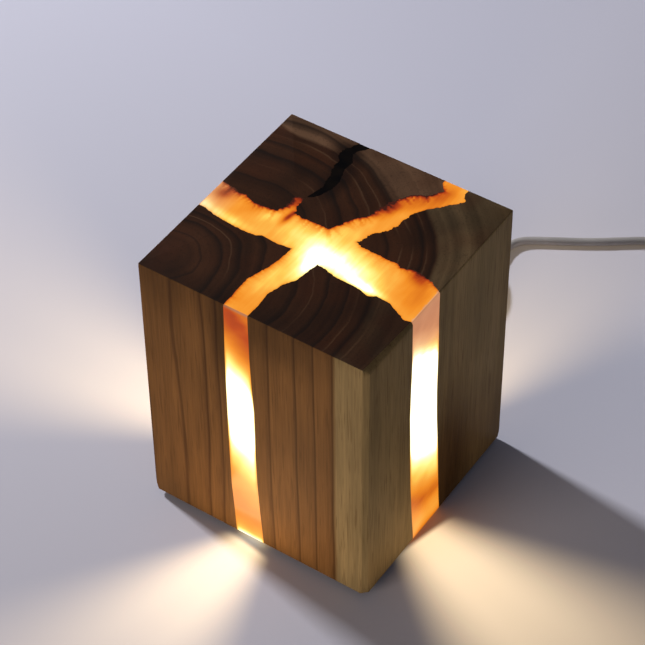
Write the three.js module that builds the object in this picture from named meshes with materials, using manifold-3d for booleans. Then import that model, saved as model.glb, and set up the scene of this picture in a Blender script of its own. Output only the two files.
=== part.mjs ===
// A USB night light: a block of dark hardwood, riven in a cross and cast together again with clear resin.
// An LED module stands in a pocket bored up from below, so the resin glows on the top and on the four sides.
// Millimetres, +Z up. The origin is on the table, under the middle of the block. -Y is the face with the
// narrow strip, +X the face with the wide strip, and the lead leaves through the +Y face.
import * as THREE from 'three';
import { mergeVertices } from 'three/addons/utils/BufferGeometryUtils.js';
import Module from 'manifold-3d';

const wasm = await Module();
wasm.setup();

// Sizes of the block
const block_side = 80;
const block_height = 100;
const foot_height = 2;
const foot_radius = 5.5;
const foot_bevel = 0.6;
const foot_inset = 10;
const arris = 0.6;
const edge_round = 0.5;
const front_chamfer = 1.5;
const foot_wear = 0.8;
const bond_gap = 0.3;
const fit_gap = 0.3;
const overrun = 1;
const weld_distance = 1e-4;

// Sizes of the pocket, its cover and the screws that hold the cover
const pocket_radius = 15;
const pocket_depth = 74;
const plate_radius = 27;
const plate_thickness = 3;
const screw_circle_radius = 21.5;
const screw_radius = 1.4;
const screw_head_radius = 2.8;
const screw_head_height = 1.6;
const screw_length = 13;
const screw_point_length = 2.2;
const slot_width = 0.7;
const slot_depth = 0.8;

// Sizes of the natural check, a crack in the back post, and of the resin that fills it
const check_depth = 34;
const filling_least_width = 0.25;

// Sizes of the LED module
const circuit_radius = 13;
const circuit_thickness = 1.6;
const sink_side = 12;
const sink_corner = 1;
const sink_height = 64;
const sink_port_radius = 1.9;
const sink_screw_length = 16;
const strip_width = 10;
const strip_thickness = 1;
const strip_length = 56;
const chip_side = 5;
const chip_height = 1.5;
const chip_lens_radius = 2;
const chip_lens_depth = 0.4;
const chip_top_margin = 8;
const chip_pitch = 20;
const resistor_length = 3.2;
const resistor_width = 1.6;
const resistor_height = 0.6;
const resistor_offset = 9.5;
const wire_radius = 0.6;

// Sizes of the lead and of what carries it through the wood
const cord_diameter = 3;
const cord_x = -6;
const cord_height = 9.5;
const cord_bare_reach = 1.2;
const hole_radius = 2.7;
const gland_flange_radius = 4.6;
const gland_flange_thickness = 1.5;
const gland_barrel_radius = 2.4;
const gland_barrel_length = 6;
const gland_tail_length = 11.5;
const gland_tail_root_radius = 3.3;
const gland_tail_tip_radius = 2.3;
const gland_groove_depth = 0.45;
const tie_ring_radius = 2.6;
const tie_ring_width = 2.6;
const tie_head_side = 3.4;
const tie_head_height = 2.4;
const tie_from_wall = 0.5;

// Sizes of the coil and its tie
const coil_middle_diameter = 36;
const coil_pitch = 3.5;
const coil_centre_x = -18;
const coil_centre_y = 86;
const coil_tie_width = 8;
const coil_tie_thickness = 0.8;
const coil_tie_tail = 9;
const coil_hump_ramp = 9;
const coil_tie_play = 0.9;

// Sizes of the switch on the lead
const switch_length = 38;
const switch_width = 15;
const switch_height = 11;
const switch_wall = 1.5;
const switch_nose_length = 5;
const switch_nose_diameter = 6.4;
const switch_centre_x = 65;
const switch_centre_y = 122;
const rocker_length = 10.4;
const rocker_width = 6.9;
const rocker_valley = 2.5;
const rocker_rise = 0.8;
const rocker_skirt = 2.2;
const rocker_skirt_length = 6.4;
const rocker_clearance = 0.8;
const pivot_height = 2.7;
const pin_radius = 0.9;
const pin_clearance = 0.15;
const ear_thickness = 1.4;
const ear_drop = 1.7;
const bridge_length = 11;
const bridge_width = 3.6;
const bridge_thickness = 0.5;
const terminal_thickness = 0.8;
const terminal_foot_length = 3.2;
const contact_offset = 4.6;
const switch_screw_offset_x = 10.6;
const switch_screw_offset_y = 3.9;
const switch_boss_radius = 2;
const switch_screw_radius = 0.9;
const switch_screw_head_radius = 1.7;
const switch_screw_head_height = 1.2;
const switch_screw_length = 8;

// Sizes of the plug
const plug_body_length = 23;
const plug_body_width = 16.4;
const plug_body_height = 8.4;
const plug_tail_length = 8;
const plug_tail_diameter = 4.8;
const plug_cord_seat = 4.5;
const plug_shell_length = 18.6;
const plug_shell_width = 12;
const plug_shell_height = 4.5;
const plug_shell_wall = 0.4;
const plug_shell_corner = 0.9;
const plug_shell_seat = 3;
const plug_window_length = 2;
const plug_window_width = 2.4;
const plug_window_from_tip = 5.6;
const plug_window_offset = 2.8;
const plug_tongue_length = 16.4;
const plug_tongue_thickness = 1.9;
const plug_contact_length = 8;
const plug_contact_width = 1;
const plug_contact_thickness = 0.2;
const plug_contact_pitch = 2.2;
const plug_u_turn_radius = 12.5;

// Counts of faces, turns and steps
const round_facets = 24;
const pocket_facets = 40;
const small_facets = 14;
const mould_points = 20;
const cord_sides = 8;
const wire_sides = 6;
const wire_steps = 8;
const coil_sides = 6;
const coil_steps_per_turn = 24;
const turns_per_layer = 3;
const coil_hump_steps = 10;
const strip_count = 4;
const chips_per_strip = 2;
const contact_count = 4;

// Angles, in radians
const quarter_turn = Math.PI / 2;
const half_turn = Math.PI;
const full_turn = 2 * Math.PI;
const screw_start_angle = Math.PI / 4;
const coil_leave_angle = THREE.MathUtils.degToRad(25);
const switch_heading = THREE.MathUtils.degToRad(-62);
const rocker_tilt = THREE.MathUtils.degToRad(8);

// The riven walls of the four posts on the top face, as shares of half the block's side. Each list runs so
// that the wood lies to its left, and a share of 1 or -1 is on a face of the block.
const back_wall_shares = [
  [-1, 0.07], [-0.79, 0.04], [-0.66, 0.005], [-0.47, 0.02], [-0.44, 0.1], [-0.44, 0.23], [-0.38, 0.25],
  [-0.35, 0.07], [-0.2, 0.065], [-0.03, 0.075], [0.02, 0.17], [0.06, 0.27], [0.13, 0.33], [0.17, 0.52],
  [0.26, 0.7], [0.39, 0.79], [0.46, 0.89], [0.4, 0.96], [0.4, 1],
];
const right_wall_shares = [
  [0.61, 1], [0.61, 0.94], [0.65, 0.87], [0.57, 0.77], [0.46, 0.65], [0.385, 0.53], [0.375, 0.4],
  [0.34, 0.29], [0.26, 0.2], [0.235, 0.1], [0.205, 0.06], [0.31, 0.035], [0.58, 0.03], [0.63, 0.005],
  [0.73, 0.045], [0.86, 0.02], [1, -0.05],
];
const front_wall_shares = [
  [1, -0.41], [0.93, -0.425], [0.86, -0.39], [0.77, -0.34], [0.65, -0.33], [0.59, -0.365], [0.5, -0.335],
  [0.28, -0.325], [0.2, -0.3], [0.118, -0.29], [0.105, -0.4], [0.085, -0.51], [0.03, -0.61],
  [-0.003, -0.74], [0.012, -0.86], [0.01, -1],
];
const left_wall_shares = [
  [-0.225, -1], [-0.23, -0.82], [-0.235, -0.69], [-0.18, -0.52], [-0.155, -0.4], [-0.143, -0.25],
  [-0.25, -0.265], [-0.41, -0.256], [-0.45, -0.28], [-0.58, -0.29], [-0.83, -0.268], [-0.92, -0.24],
  [-1, -0.237],
];
// How far each wall's first and last ends have moved at the foot of the block, as the same shares.
const no_drift_shares = [[0, 0], [0, 0]];
const right_drift_shares = [[0, 0], [0, 0.11]];
const front_drift_shares = [[0, 0.08], [0.045, 0]];
const drift_power = 1.7;
// How far a splinter line wanders up and down a wall, as a share of half the side, and how fast.
const sway_share = 0.009;
const sway_waves_share = 2.3;
const sway_phase_share = 0.618;
const levels_share = [0, 0.006, 0.15, 0.3, 0.46, 0.62, 0.78, 0.965, 0.994, 1];
const worn_from_share = 0.965;
// The check from the rear face inwards: place along Y, middle in X and width, all as shares of half the side.
const check_shares = [
  [1, -0.3275, 0.14], [0.975, -0.3275, 0.14], [0.95, -0.362, 0.095], [0.845, -0.381, 0.102],
  [0.78, -0.367, 0.11], [0.7, -0.353, 0.078], [0.642, -0.342, 0.085], [0.575, -0.31, 0.075],
  [0.492, -0.302, 0.09], [0.4, -0.307, 0.08], [0.325, -0.33, 0.07], [0.282, -0.35, 0.037],
  [0.272, -0.362, 0.005],
];
const check_foot_width_share = 0.45;
const pocket_centre_share = [0.03, -0.11];

// Values worked out from the sizes
const half_side = block_side / 2;
const block_bottom = foot_height;
const block_top = foot_height + block_height;
const plate_top = block_bottom + plate_thickness;
const pocket_x = half_side * pocket_centre_share[0];
const pocket_y = half_side * pocket_centre_share[1];
const circuit_top = plate_top + circuit_thickness;
const sink_top = circuit_top + sink_height;
const cord_radius = cord_diameter / 2;
const cord_bore = cord_radius + fit_gap;
const gland_mouth_y = half_side + gland_flange_thickness + gland_tail_length;
const rocker_axis_z = switch_height / 2 + pivot_height;

const materials = {
  wood: finish('#4a3826', 0.62, 0),
  resin: finish('#f2a544', 0.25, 0, { emissive: new THREE.Color('#c8741c') }),
  dark_resin: finish('#17110f', 0.2, 0),
  black_plastic: finish('#1d1d1f', 0.5, 0),
  rubber: finish('#262626', 0.85, 0),
  steel: finish('#b9bcc0', 0.3, 1),
  aluminium: finish('#c3c6ca', 0.4, 1),
  circuit: finish('#f1f1ec', 0.45, 0),
  chip: finish('#ffd766', 0.35, 0, { emissive: new THREE.Color('#ffb14a') }),
  resistor: finish('#17171a', 0.5, 0),
  red_wire: finish('#b3261e', 0.5, 0),
  black_wire: finish('#141414', 0.5, 0),
  cord: finish('#d9d8d6', 0.5, 0),
  switch_shell: finish('#e4e3e0', 0.4, 0),
  rocker: finish('#e9e8e5', 0.35, 0),
  brass: finish('#c79a4a', 0.35, 1),
  tie: finish('#2b2b2d', 0.9, 0),
  tongue: finish('#f4f4f2', 0.45, 0),
};

function finish(color, roughness, metalness, more = {}) {
  return new THREE.MeshStandardMaterial({ color, roughness, metalness, ...more });
}

// Turns a closed geometry into a solid: shared corners are merged, and faces with no area are dropped.
function toSolid(geometry) {
  const bare = new THREE.BufferGeometry();
  bare.setAttribute('position', geometry.getAttribute('position').clone());
  if (geometry.index) {
    bare.setIndex(geometry.index.clone());
  }
  const merged = mergeVertices(bare, weld_distance);
  const corners = merged.index.array;
  const kept = [];
  for (let i = 0; i < corners.length; i += 3) {
    const [a, b, c] = [corners[i], corners[i + 1], corners[i + 2]];
    if (a !== b && b !== c && c !== a) {
      kept.push(a, b, c);
    }
  }
  const vertProperties = Float32Array.from(merged.getAttribute('position').array);
  const build = (order) => {
    return new wasm.Manifold(new wasm.Mesh({ numProp: 3, vertProperties, triVerts: Uint32Array.from(order) }));
  };
  const solid = build(kept);
  return solid.volume() < 0 ? build(kept.reverse()) : solid;
}

function toGeometry(solid) {
  const { numProp, vertProperties, triVerts } = solid.getMesh();
  const geometry = new THREE.BufferGeometry();
  const data = new THREE.InterleavedBuffer(vertProperties, numProp);
  geometry.setAttribute('position', new THREE.InterleavedBufferAttribute(data, 3, 0));
  geometry.setIndex(new THREE.BufferAttribute(triVerts, 1));
  const plain = geometry.clone();
  plain.computeVertexNormals();
  return plain;
}

const light = new THREE.Group();

// Adds one named piece to a group. It takes a geometry or a solid.
function piece(name, shape, material, group = light) {
  const solid = shape.isBufferGeometry ? toSolid(shape) : shape;
  const mesh = new THREE.Mesh(toGeometry(solid), material);
  mesh.name = name;
  group.add(mesh);
  return mesh;
}

// A closed body from outlines of equally many points, each counter-clockwise. place(point, k) gives the
// place in space of a point of outline k, and outline 0 lies at the low end of the body's axis. The four
// sides between two outlines are split along one diagonal, or along the other where leaning_back is true.
function loft(outlines, place, leaning_back = false) {
  const count = outlines[0].length;
  const positions = outlines.flatMap((outline, k) => outline.flatMap((point) => place(point, k)));
  const index = [];
  for (let k = 0; k + 1 < outlines.length; k += 1) {
    for (let i = 0; i < count; i += 1) {
      const j = (i + 1) % count;
      const [a, b, c, d] = [k * count + i, k * count + j, (k + 1) * count + j, (k + 1) * count + i];
      index.push(...(leaning_back ? [a, b, d, b, c, d] : [a, b, c, a, c, d]));
    }
  }
  addCap(outlines[0], 0, true);
  addCap(outlines.at(-1), (outlines.length - 1) * count, false);
  const geometry = new THREE.BufferGeometry();
  geometry.setAttribute('position', new THREE.Float32BufferAttribute(positions, 3));
  geometry.setIndex(index);
  return geometry;

  function addCap(outline, first, faces_down) {
    const points = outline.map(([x, y]) => new THREE.Vector2(x, y));
    for (const [a, b, c] of THREE.ShapeUtils.triangulateShape(points, [])) {
      const turns_left = THREE.ShapeUtils.area([points[a], points[b], points[c]]) > 0;
      const order = turns_left === faces_down ? [a, c, b] : [a, b, c];
      index.push(...order.map((corner) => first + corner));
    }
  }
}

// Round and flat building blocks, all made standing on a given height
function cylinder(radius, height, x, y, z, facets = round_facets, top_radius = radius) {
  return new THREE.CylinderGeometry(top_radius, radius, height, facets)
    .rotateX(quarter_turn)
    .translate(x, y, z + height / 2);
}

function turned(profile, facets = round_facets) {
  const points = profile.map(([radius, z]) => new THREE.Vector2(radius, z));
  return new THREE.LatheGeometry(points, facets).rotateX(quarter_turn);
}

function block(length, width, height, x, y, z) {
  return new THREE.BoxGeometry(length, width, height).translate(x, y, z + height / 2);
}

// A profile drawn in X and Z and carried along Y, centred on y = 0
function carried(profile, width) {
  const shape = new THREE.Shape(profile.map(([x, z]) => new THREE.Vector2(x, z)));
  return new THREE.ExtrudeGeometry(shape, { depth: width, bevelEnabled: false })
    .translate(0, 0, -width / 2)
    .rotateX(quarter_turn);
}

function subtractAll(solid, cuts) {
  return cuts.reduce((rest, cut) => rest.subtract(cut.isBufferGeometry ? toSolid(cut) : cut), solid);
}

// A round cord along hand-chosen points
function cordAlong(points, radius, sides, steps) {
  const section = new THREE.Shape().absarc(0, 0, radius, 0, full_turn);
  const corners = section.getPoints(sides).slice(0, -1);
  const outline = new THREE.Shape(corners.map((_, i) => {
    const angle = (full_turn * i) / corners.length;
    return new THREE.Vector2(radius * Math.cos(angle), radius * Math.sin(angle));
  }));
  const path = new THREE.CatmullRomCurve3(points.map((point) => new THREE.Vector3(...point)), false, 'centripetal');
  return new THREE.ExtrudeGeometry(outline, { steps, extrudePath: path, bevelEnabled: false });
}

function stepsFor(points, diameter) {
  const path = new THREE.CatmullRomCurve3(points.map((point) => new THREE.Vector3(...point)), false, 'centripetal');
  return Math.ceil(path.getLength() / (2 * diameter));
}

// The block: posts and resin

// One wall at a depth below the top, given as a share of the height: every point keeps to its splinter
// line, the ends drift along their faces, and the points between wander a little.
function wallAt(wall_shares, drift_shares, depth_share) {
  const last = wall_shares.length - 1;
  const fall = depth_share ** drift_power;
  return wall_shares.map(([x, y], i) => {
    const along = i / last;
    const sway = sway_share * Math.sin(full_turn * (sway_waves_share * depth_share + sway_phase_share * i));
    const moved = [0, 1].map((axis) => {
      const drift = (1 - along) * drift_shares[0][axis] + along * drift_shares[1][axis];
      return drift * fall + sway * (depth_share > 0 ? 1 : 0);
    });
    const point = [x, y].map((value, axis) => (Math.abs(value) === 1 ? value : value + moved[axis]));
    return point.map((value) => half_side * value);
  });
}

// The same wall moved off the wood by the bond gap, for the resin's side of the joint
function movedOff(wall, gap) {
  const normals = wall.slice(1).map(([x, y], i) => {
    const [dx, dy] = [x - wall[i][0], y - wall[i][1]];
    const length = Math.hypot(dx, dy);
    return [dy / length, -dx / length];
  });
  return wall.map(([x, y], i) => {
    const [before, after] = [normals[Math.max(i - 1, 0)], normals[Math.min(i, normals.length - 1)]];
    const [mx, my] = [before[0] + after[0], before[1] + after[1]];
    const scale = (2 * gap) / (mx * mx + my * my);
    const off = [mx * scale, my * scale];
    const on_side = Math.abs(Math.abs(x) - half_side) < weld_distance;
    const on_end = Math.abs(Math.abs(y) - half_side) < weld_distance;
    if (on_side) {
      return [x, y + gap / before[1]];
    }
    if (on_end) {
      return [x + gap / before[0], y];
    }
    return [x + off[0], y + off[1]];
  });
}

// Draws a point that lies on a face of the block in by the arris
function drawnIn([x, y], inset) {
  const limit = half_side - inset;
  return [Math.max(-limit, Math.min(limit, x)), Math.max(-limit, Math.min(limit, y))];
}

function insetAt(depth_share) {
  return depth_share === 0 || depth_share === 1 ? arris : 0;
}

// The outer corner of a post in counter-clockwise order, cut all the way down and a little worn at its foot
function corner([sx, sy], size, depth_share) {
  const worn = Math.max(0, (depth_share - worn_from_share) / (1 - worn_from_share));
  const round = size + foot_wear * worn;
  const [full, cut] = [half_side, half_side - round];
  const bevel = [[sx * full, sy * cut], [sx * cut, sy * full]];
  return sx * sy > 0 ? bevel : bevel.reverse();
}

const heights = levels_share.map((depth_share) => block_top - block_height * depth_share);

function post(wall_shares, drift_shares, signs, corner_size = edge_round) {
  const outlines = levels_share.map((depth_share) => {
    const wall = wallAt(wall_shares, drift_shares, depth_share);
    return [...wall, ...corner(signs, corner_size, depth_share)].map((point) => {
      return drawnIn(point, insetAt(depth_share));
    });
  });
  const order = outlines.map((_, k) => outlines.length - 1 - k);
  return toSolid(loft(order.map((k) => outlines[k]), ([x, y], k) => [x, y, heights[order[k]]]));
}

function resinCross() {
  const walls = [
    [front_wall_shares, front_drift_shares],
    [right_wall_shares, right_drift_shares],
    [back_wall_shares, no_drift_shares],
    [left_wall_shares, no_drift_shares],
  ];
  const outlines = levels_share.map((depth_share) => {
    const inset = insetAt(depth_share);
    return walls.flatMap(([wall_shares, drift_shares]) => {
      const wall = movedOff(wallAt(wall_shares, drift_shares, depth_share), bond_gap);
      return wall.reverse().map((point) => drawnIn(point, inset));
    });
  });
  const order = outlines.map((_, k) => outlines.length - 1 - k);
  return toSolid(loft(order.map((k) => outlines[k]), ([x, y], k) => [x, y, heights[order[k]]], true));
}

// The outline of the check where it is narrowed to a share of its width at the top, run out past the rear face
function checkOutline(narrowing) {
  const [first] = check_shares;
  const stations = [[first[0] + overrun / half_side, first[1], first[2]], ...check_shares];
  const side = (sign) => stations.map(([y, x, width]) => {
    return [half_side * (x + (sign * width * narrowing) / 2), half_side * y];
  });
  return [...side(1).reverse(), ...side(-1)];
}

// The outline of the filling at the same place: its walls stand off by the bond gap, and it ends at the face
function fillingOutline(narrowing) {
  const side = (sign) => check_shares.slice(0, -1).map(([y, x, width]) => {
    const half_width = (half_side * width * narrowing) / 2 - bond_gap;
    return [half_side * x + sign * Math.max(half_width, filling_least_width / 2), half_side * y];
  });
  return [...side(1).reverse(), ...side(-1)];
}

// The natural check: a crack, wide at the top and closing with depth
function naturalCheck() {
  const outlines = [checkOutline(check_foot_width_share), checkOutline(1)];
  const levels = [block_top - check_depth, block_top];
  const crack = loft(outlines, ([x, y], k) => [x, y, levels[k]]);
  const mouth = loft([outlines[1], outlines[1]], ([x, y], k) => [x, y, block_top + overrun * k]);
  return toSolid(crack).add(toSolid(mouth));
}

// The resin that ran into the check, flush with the top and with the rear face
function checkFilling() {
  const foot = block_top - check_depth + bond_gap;
  const levels = [foot, block_top - arris, block_top];
  const narrowings = levels.map((z) => {
    const share = (z - block_top + check_depth) / check_depth;
    return check_foot_width_share + (1 - check_foot_width_share) * share;
  });
  const outlines = narrowings.map((narrowing, k) => {
    return fillingOutline(narrowing).map((point) => drawnIn(point, k === levels.length - 1 ? arris : 0));
  });
  return toSolid(loft(outlines, ([x, y], k) => [x, y, levels[k]]));
}

const screw_places = [0, 1, 2, 3].map((i) => {
  const angle = screw_start_angle + quarter_turn * i;
  return [pocket_x + screw_circle_radius * Math.cos(angle), pocket_y + screw_circle_radius * Math.sin(angle)];
});
const pocket_cut = cylinder(pocket_radius, pocket_depth + overrun, pocket_x, pocket_y,
  block_bottom - overrun, pocket_facets);
const recess_cut = cylinder(plate_radius + fit_gap, plate_thickness + overrun, pocket_x, pocket_y,
  block_bottom - overrun, pocket_facets);
const screw_cuts = screw_places.map(([x, y]) => {
  return cylinder(screw_radius + fit_gap, screw_length + fit_gap, x, y, block_bottom, small_facets);
});
const cord_cut = new THREE.CylinderGeometry(hole_radius, hole_radius, half_side - pocket_y + overrun, small_facets)
  .translate(cord_x, (half_side + pocket_y + overrun) / 2, cord_height);
const base_cuts = [pocket_cut, recess_cut, ...screw_cuts];

function addBlock() {
  const back = post(back_wall_shares, no_drift_shares, [-1, 1]);
  const right = post(right_wall_shares, right_drift_shares, [1, 1]);
  const front = post(front_wall_shares, front_drift_shares, [1, -1], front_chamfer);
  const left = post(left_wall_shares, no_drift_shares, [-1, -1]);
  piece('wood_post_back', subtractAll(back, [...base_cuts, cord_cut, naturalCheck()]), materials.wood);
  piece('wood_post_right', subtractAll(right, base_cuts), materials.wood);
  piece('wood_post_front', subtractAll(front, base_cuts), materials.wood);
  piece('wood_post_left', subtractAll(left, base_cuts), materials.wood);
  piece('resin_cross', subtractAll(resinCross(), base_cuts), materials.resin);
  piece('check_filling', checkFilling(), materials.dark_resin);
}

// The cover of the pocket, its screws and the feet

// A countersunk screw, head down at z = 0, with a cross recess
function screw(radius, head_radius, head_height, length, point_length) {
  const profile = [
    [0, 0], [head_radius, 0], [radius, head_height], [radius, length - point_length], [radius / 3, length], [0, length],
  ];
  const slots = [0, quarter_turn].map((turn) => {
    return block(2 * head_radius - 2 * slot_width, slot_width, slot_depth + overrun, 0, 0, -overrun).rotateZ(turn);
  });
  return subtractAll(toSolid(turned(profile, small_facets)), slots);
}

function addCover() {
  const seats = screw_places.flatMap(([x, y]) => [
    cylinder(screw_radius + fit_gap, plate_thickness + 2 * overrun, x, y, block_bottom - overrun, small_facets),
    cylinder(screw_head_radius + fit_gap, screw_head_height, x, y, block_bottom, small_facets, screw_radius + fit_gap),
  ]);
  const middle_seat = [
    cylinder(screw_radius + fit_gap, plate_thickness + 2 * overrun, pocket_x, pocket_y, block_bottom - overrun,
      small_facets),
    cylinder(screw_head_radius + fit_gap, screw_head_height, pocket_x, pocket_y, block_bottom, small_facets,
      screw_radius + fit_gap),
  ];
  const plate = cylinder(plate_radius, plate_thickness, pocket_x, pocket_y, block_bottom, pocket_facets);
  piece('base_plate', subtractAll(toSolid(plate), [...seats, ...middle_seat]), materials.black_plastic);
  screw_places.forEach(([x, y], i) => {
    const body = screw(screw_radius, screw_head_radius, screw_head_height, screw_length, screw_point_length);
    piece(`base_screw_${i + 1}`, body, materials.steel).position.set(x, y, block_bottom);
  });
}

function addFeet() {
  const place = half_side - foot_inset;
  const profile = [
    [0, 0], [foot_radius - foot_bevel, 0], [foot_radius, foot_bevel], [foot_radius, foot_height], [0, foot_height],
  ];
  [[1, -1], [1, 1], [-1, 1], [-1, -1]].forEach(([sx, sy], i) => {
    piece(`foot_pad_${i + 1}`, turned(profile), materials.rubber).position.set(sx * place, sy * place, 0);
  });
}

// The LED module: a circuit board on the cover, an aluminium bar on the board, four strips on the bar

function addModule() {
  const module = new THREE.Group();
  module.position.set(pocket_x, pocket_y, 0);
  light.add(module);

  const port = cylinder(screw_radius + fit_gap, circuit_thickness + 2 * overrun, 0, 0, plate_top - overrun,
    small_facets);
  const circuit = cylinder(circuit_radius, circuit_thickness, 0, 0, plate_top, pocket_facets);
  piece('led_circuit_board', subtractAll(toSolid(circuit), [port]), materials.circuit, module);

  const [full, cut] = [sink_side / 2, sink_side / 2 - sink_corner];
  const bar = new THREE.Shape([
    [cut, -full], [full, -cut], [full, cut], [cut, full], [-cut, full], [-full, cut], [-full, -cut], [-cut, -full],
  ].map(([x, y]) => new THREE.Vector2(x, y)));
  bar.holes.push(new THREE.Path().absarc(0, 0, sink_port_radius, 0, full_turn));
  const sink = new THREE.ExtrudeGeometry(bar, { depth: sink_height, bevelEnabled: false, curveSegments: small_facets });
  piece('led_heat_sink', sink.translate(0, 0, circuit_top), materials.aluminium, module);
  const fixing = screw(screw_radius, screw_head_radius, screw_head_height, sink_screw_length, screw_point_length);
  piece('led_heat_sink_screw', fixing, materials.steel, module).position.z = block_bottom;

  for (let i = 0; i < strip_count; i += 1) {
    const side = new THREE.Group();
    side.rotation.z = quarter_turn * i;
    module.add(side);
    const strip_x = (sink_side + strip_thickness) / 2;
    piece(`led_strip_${i + 1}`, block(strip_thickness, strip_width, strip_length, strip_x, 0,
      sink_top - strip_length), materials.circuit, side);
    for (let k = 0; k < chips_per_strip; k += 1) {
      const chip_x = sink_side / 2 + strip_thickness + chip_height / 2;
      const chip_z = sink_top - chip_top_margin - chip_pitch * k;
      const body = toSolid(new THREE.BoxGeometry(chip_height, chip_side, chip_side));
      const lens = new THREE.CylinderGeometry(chip_lens_radius, chip_lens_radius, 2 * chip_lens_depth, small_facets)
        .rotateZ(quarter_turn)
        .translate(chip_height / 2, 0, 0);
      const chip = piece(`led_chip_${chips_per_strip * i + k + 1}`, subtractAll(body, [lens]), materials.chip, side);
      chip.position.set(chip_x, 0, chip_z);
    }
  }

  [1, -1].forEach((sign, i) => {
    const resistor = block(resistor_width, resistor_length, resistor_height, resistor_offset, 0, circuit_top)
      .rotateZ(sign * screw_start_angle - quarter_turn);
    piece(`resistor_${i + 1}`, resistor, materials.resistor, module);
  });
}

// The lead inside the block: jacket, retaining tie, two wires to the circuit board, and the gland

const tie_wall_y = pocket_y + Math.sqrt(pocket_radius ** 2 - (pocket_x - cord_x + tie_ring_radius) ** 2);
const tie_middle_y = tie_wall_y - tie_from_wall - tie_ring_width / 2;
const cord_end_y = tie_middle_y - tie_ring_width / 2 - cord_bare_reach;

function addInnerLead() {
  const inner = new THREE.CylinderGeometry(cord_radius, cord_radius, half_side - cord_end_y, cord_sides)
    .translate(cord_x, (half_side + cord_end_y) / 2, cord_height);
  piece('cord_inner', inner, materials.cord);

  const ring = new THREE.CylinderGeometry(tie_ring_radius, tie_ring_radius, tie_ring_width, small_facets);
  const head = new THREE.BoxGeometry(tie_head_side, tie_ring_width, tie_head_height)
    .translate(0, 0, tie_ring_radius + tie_head_height / 2 - coil_tie_thickness);
  const bore = new THREE.CylinderGeometry(cord_bore, cord_bore, tie_ring_width + 2 * overrun, small_facets);
  const retaining = toSolid(ring).add(toSolid(head));
  const tie = piece('cord_retaining_tie', subtractAll(retaining, [bore]), materials.black_plastic);
  tie.position.set(cord_x, tie_middle_y, cord_height);

  const wire_start_y = cord_end_y - fit_gap;
  const pad_y = pocket_y;
  [['wire_red', -1, materials.red_wire], ['wire_black', 1, materials.black_wire]].forEach(([name, sign, material]) => {
    const x = cord_x + sign * (wire_radius + fit_gap / 2);
    const pad_x = pocket_x - circuit_radius + cord_diameter + (1 + sign) * (wire_radius + fit_gap / 2);
    const low = circuit_top + fit_gap;
    const route = [
      [x, wire_start_y, cord_height],
      [x, wire_start_y - wire_radius, cord_height],
      [(x + pad_x) / 2 - wire_radius, (wire_start_y + pad_y) / 2, cord_height - wire_radius],
      [pad_x, pad_y + wire_radius, low + 2 * wire_radius],
      [pad_x, pad_y, low],
    ];
    piece(name, cordAlong(route, wire_radius, wire_sides, wire_steps), material);
  });
}

// The gland is turned about the lead: a barrel in the wood, a flange on the face, and a ribbed tapering tail.
function addGland() {
  const ribs = 4;
  const rib_length = gland_tail_length / (2 * ribs + 1);
  const tail = [];
  for (let i = 0; i <= 2 * ribs; i += 1) {
    const share = i / (2 * ribs);
    const radius = gland_tail_root_radius + (gland_tail_tip_radius - gland_tail_root_radius) * share;
    const groove = i % 2 === 1 ? gland_groove_depth : 0;
    const start = gland_flange_thickness + rib_length * i;
    tail.push([radius - groove, start], [radius - groove, start + rib_length]);
  }
  const profile = [
    [cord_bore, -gland_barrel_length], [gland_barrel_radius, -gland_barrel_length], [gland_barrel_radius, 0],
    [gland_flange_radius, 0], [gland_flange_radius, gland_flange_thickness], ...tail,
    [cord_bore, gland_flange_thickness + gland_tail_length], [cord_bore, -gland_barrel_length],
  ];
  const points = profile.map(([radius, y]) => new THREE.Vector2(radius, y));
  const gland = piece('cord_gland', new THREE.LatheGeometry(points, small_facets + 2), materials.rubber);
  gland.position.set(cord_x, half_side, cord_height);
}

// The lead outside the block: to the coil, the coil, on past the block's right, to the switch and the plug

const coil_outer_radius = coil_middle_diameter / 2 + (coil_pitch * turns_per_layer) / 2;
const coil_inner_radius = coil_outer_radius - coil_pitch * turns_per_layer;
const coil_in_angle = full_turn * turns_per_layer;
const coil_total_angle = 2 * coil_in_angle + coil_leave_angle;
const coil_top_z = cord_radius + coil_pitch;
const hump_height = coil_tie_thickness + fit_gap;

// The lead spirals in on the upper layer and out on the lower one. It steps down a layer in the half turn
// where the spiral reverses, and rises in a low hump where the tie passes under it.
function coilPoint(angle) {
  const radius = coil_inner_radius + (coil_pitch * Math.abs(coil_in_angle - angle)) / full_turn;
  const through = THREE.MathUtils.clamp((angle - coil_in_angle) / half_turn + 1 / 2, 0, 1);
  const layer_z = coil_top_z - coil_pitch * through * through * (3 - 2 * through);
  const from_tie = Math.abs((angle % full_turn) - half_turn) * radius - coil_tie_width / 2;
  const down = THREE.MathUtils.clamp(from_tie / coil_hump_ramp, 0, 1);
  const lift = (hump_height * (1 + Math.cos(half_turn * down))) / 2;
  return [coil_centre_x + radius * Math.cos(angle), coil_centre_y + radius * Math.sin(angle), layer_z + lift];
}

function coilLine() {
  const steps = Math.round((coil_total_angle / full_turn) * coil_steps_per_turn);
  const line = [[coil_centre_x + coil_outer_radius, coil_centre_y - cord_diameter, coil_top_z]];
  for (let i = 0; i <= steps; i += 1) {
    line.push(coilPoint((coil_total_angle * i) / steps));
  }
  const [x, y, z] = line.at(-1);
  const heading = coil_leave_angle + quarter_turn;
  line.push([x + cord_diameter * Math.cos(heading), y + cord_diameter * Math.sin(heading), z]);
  return line;
}

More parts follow.
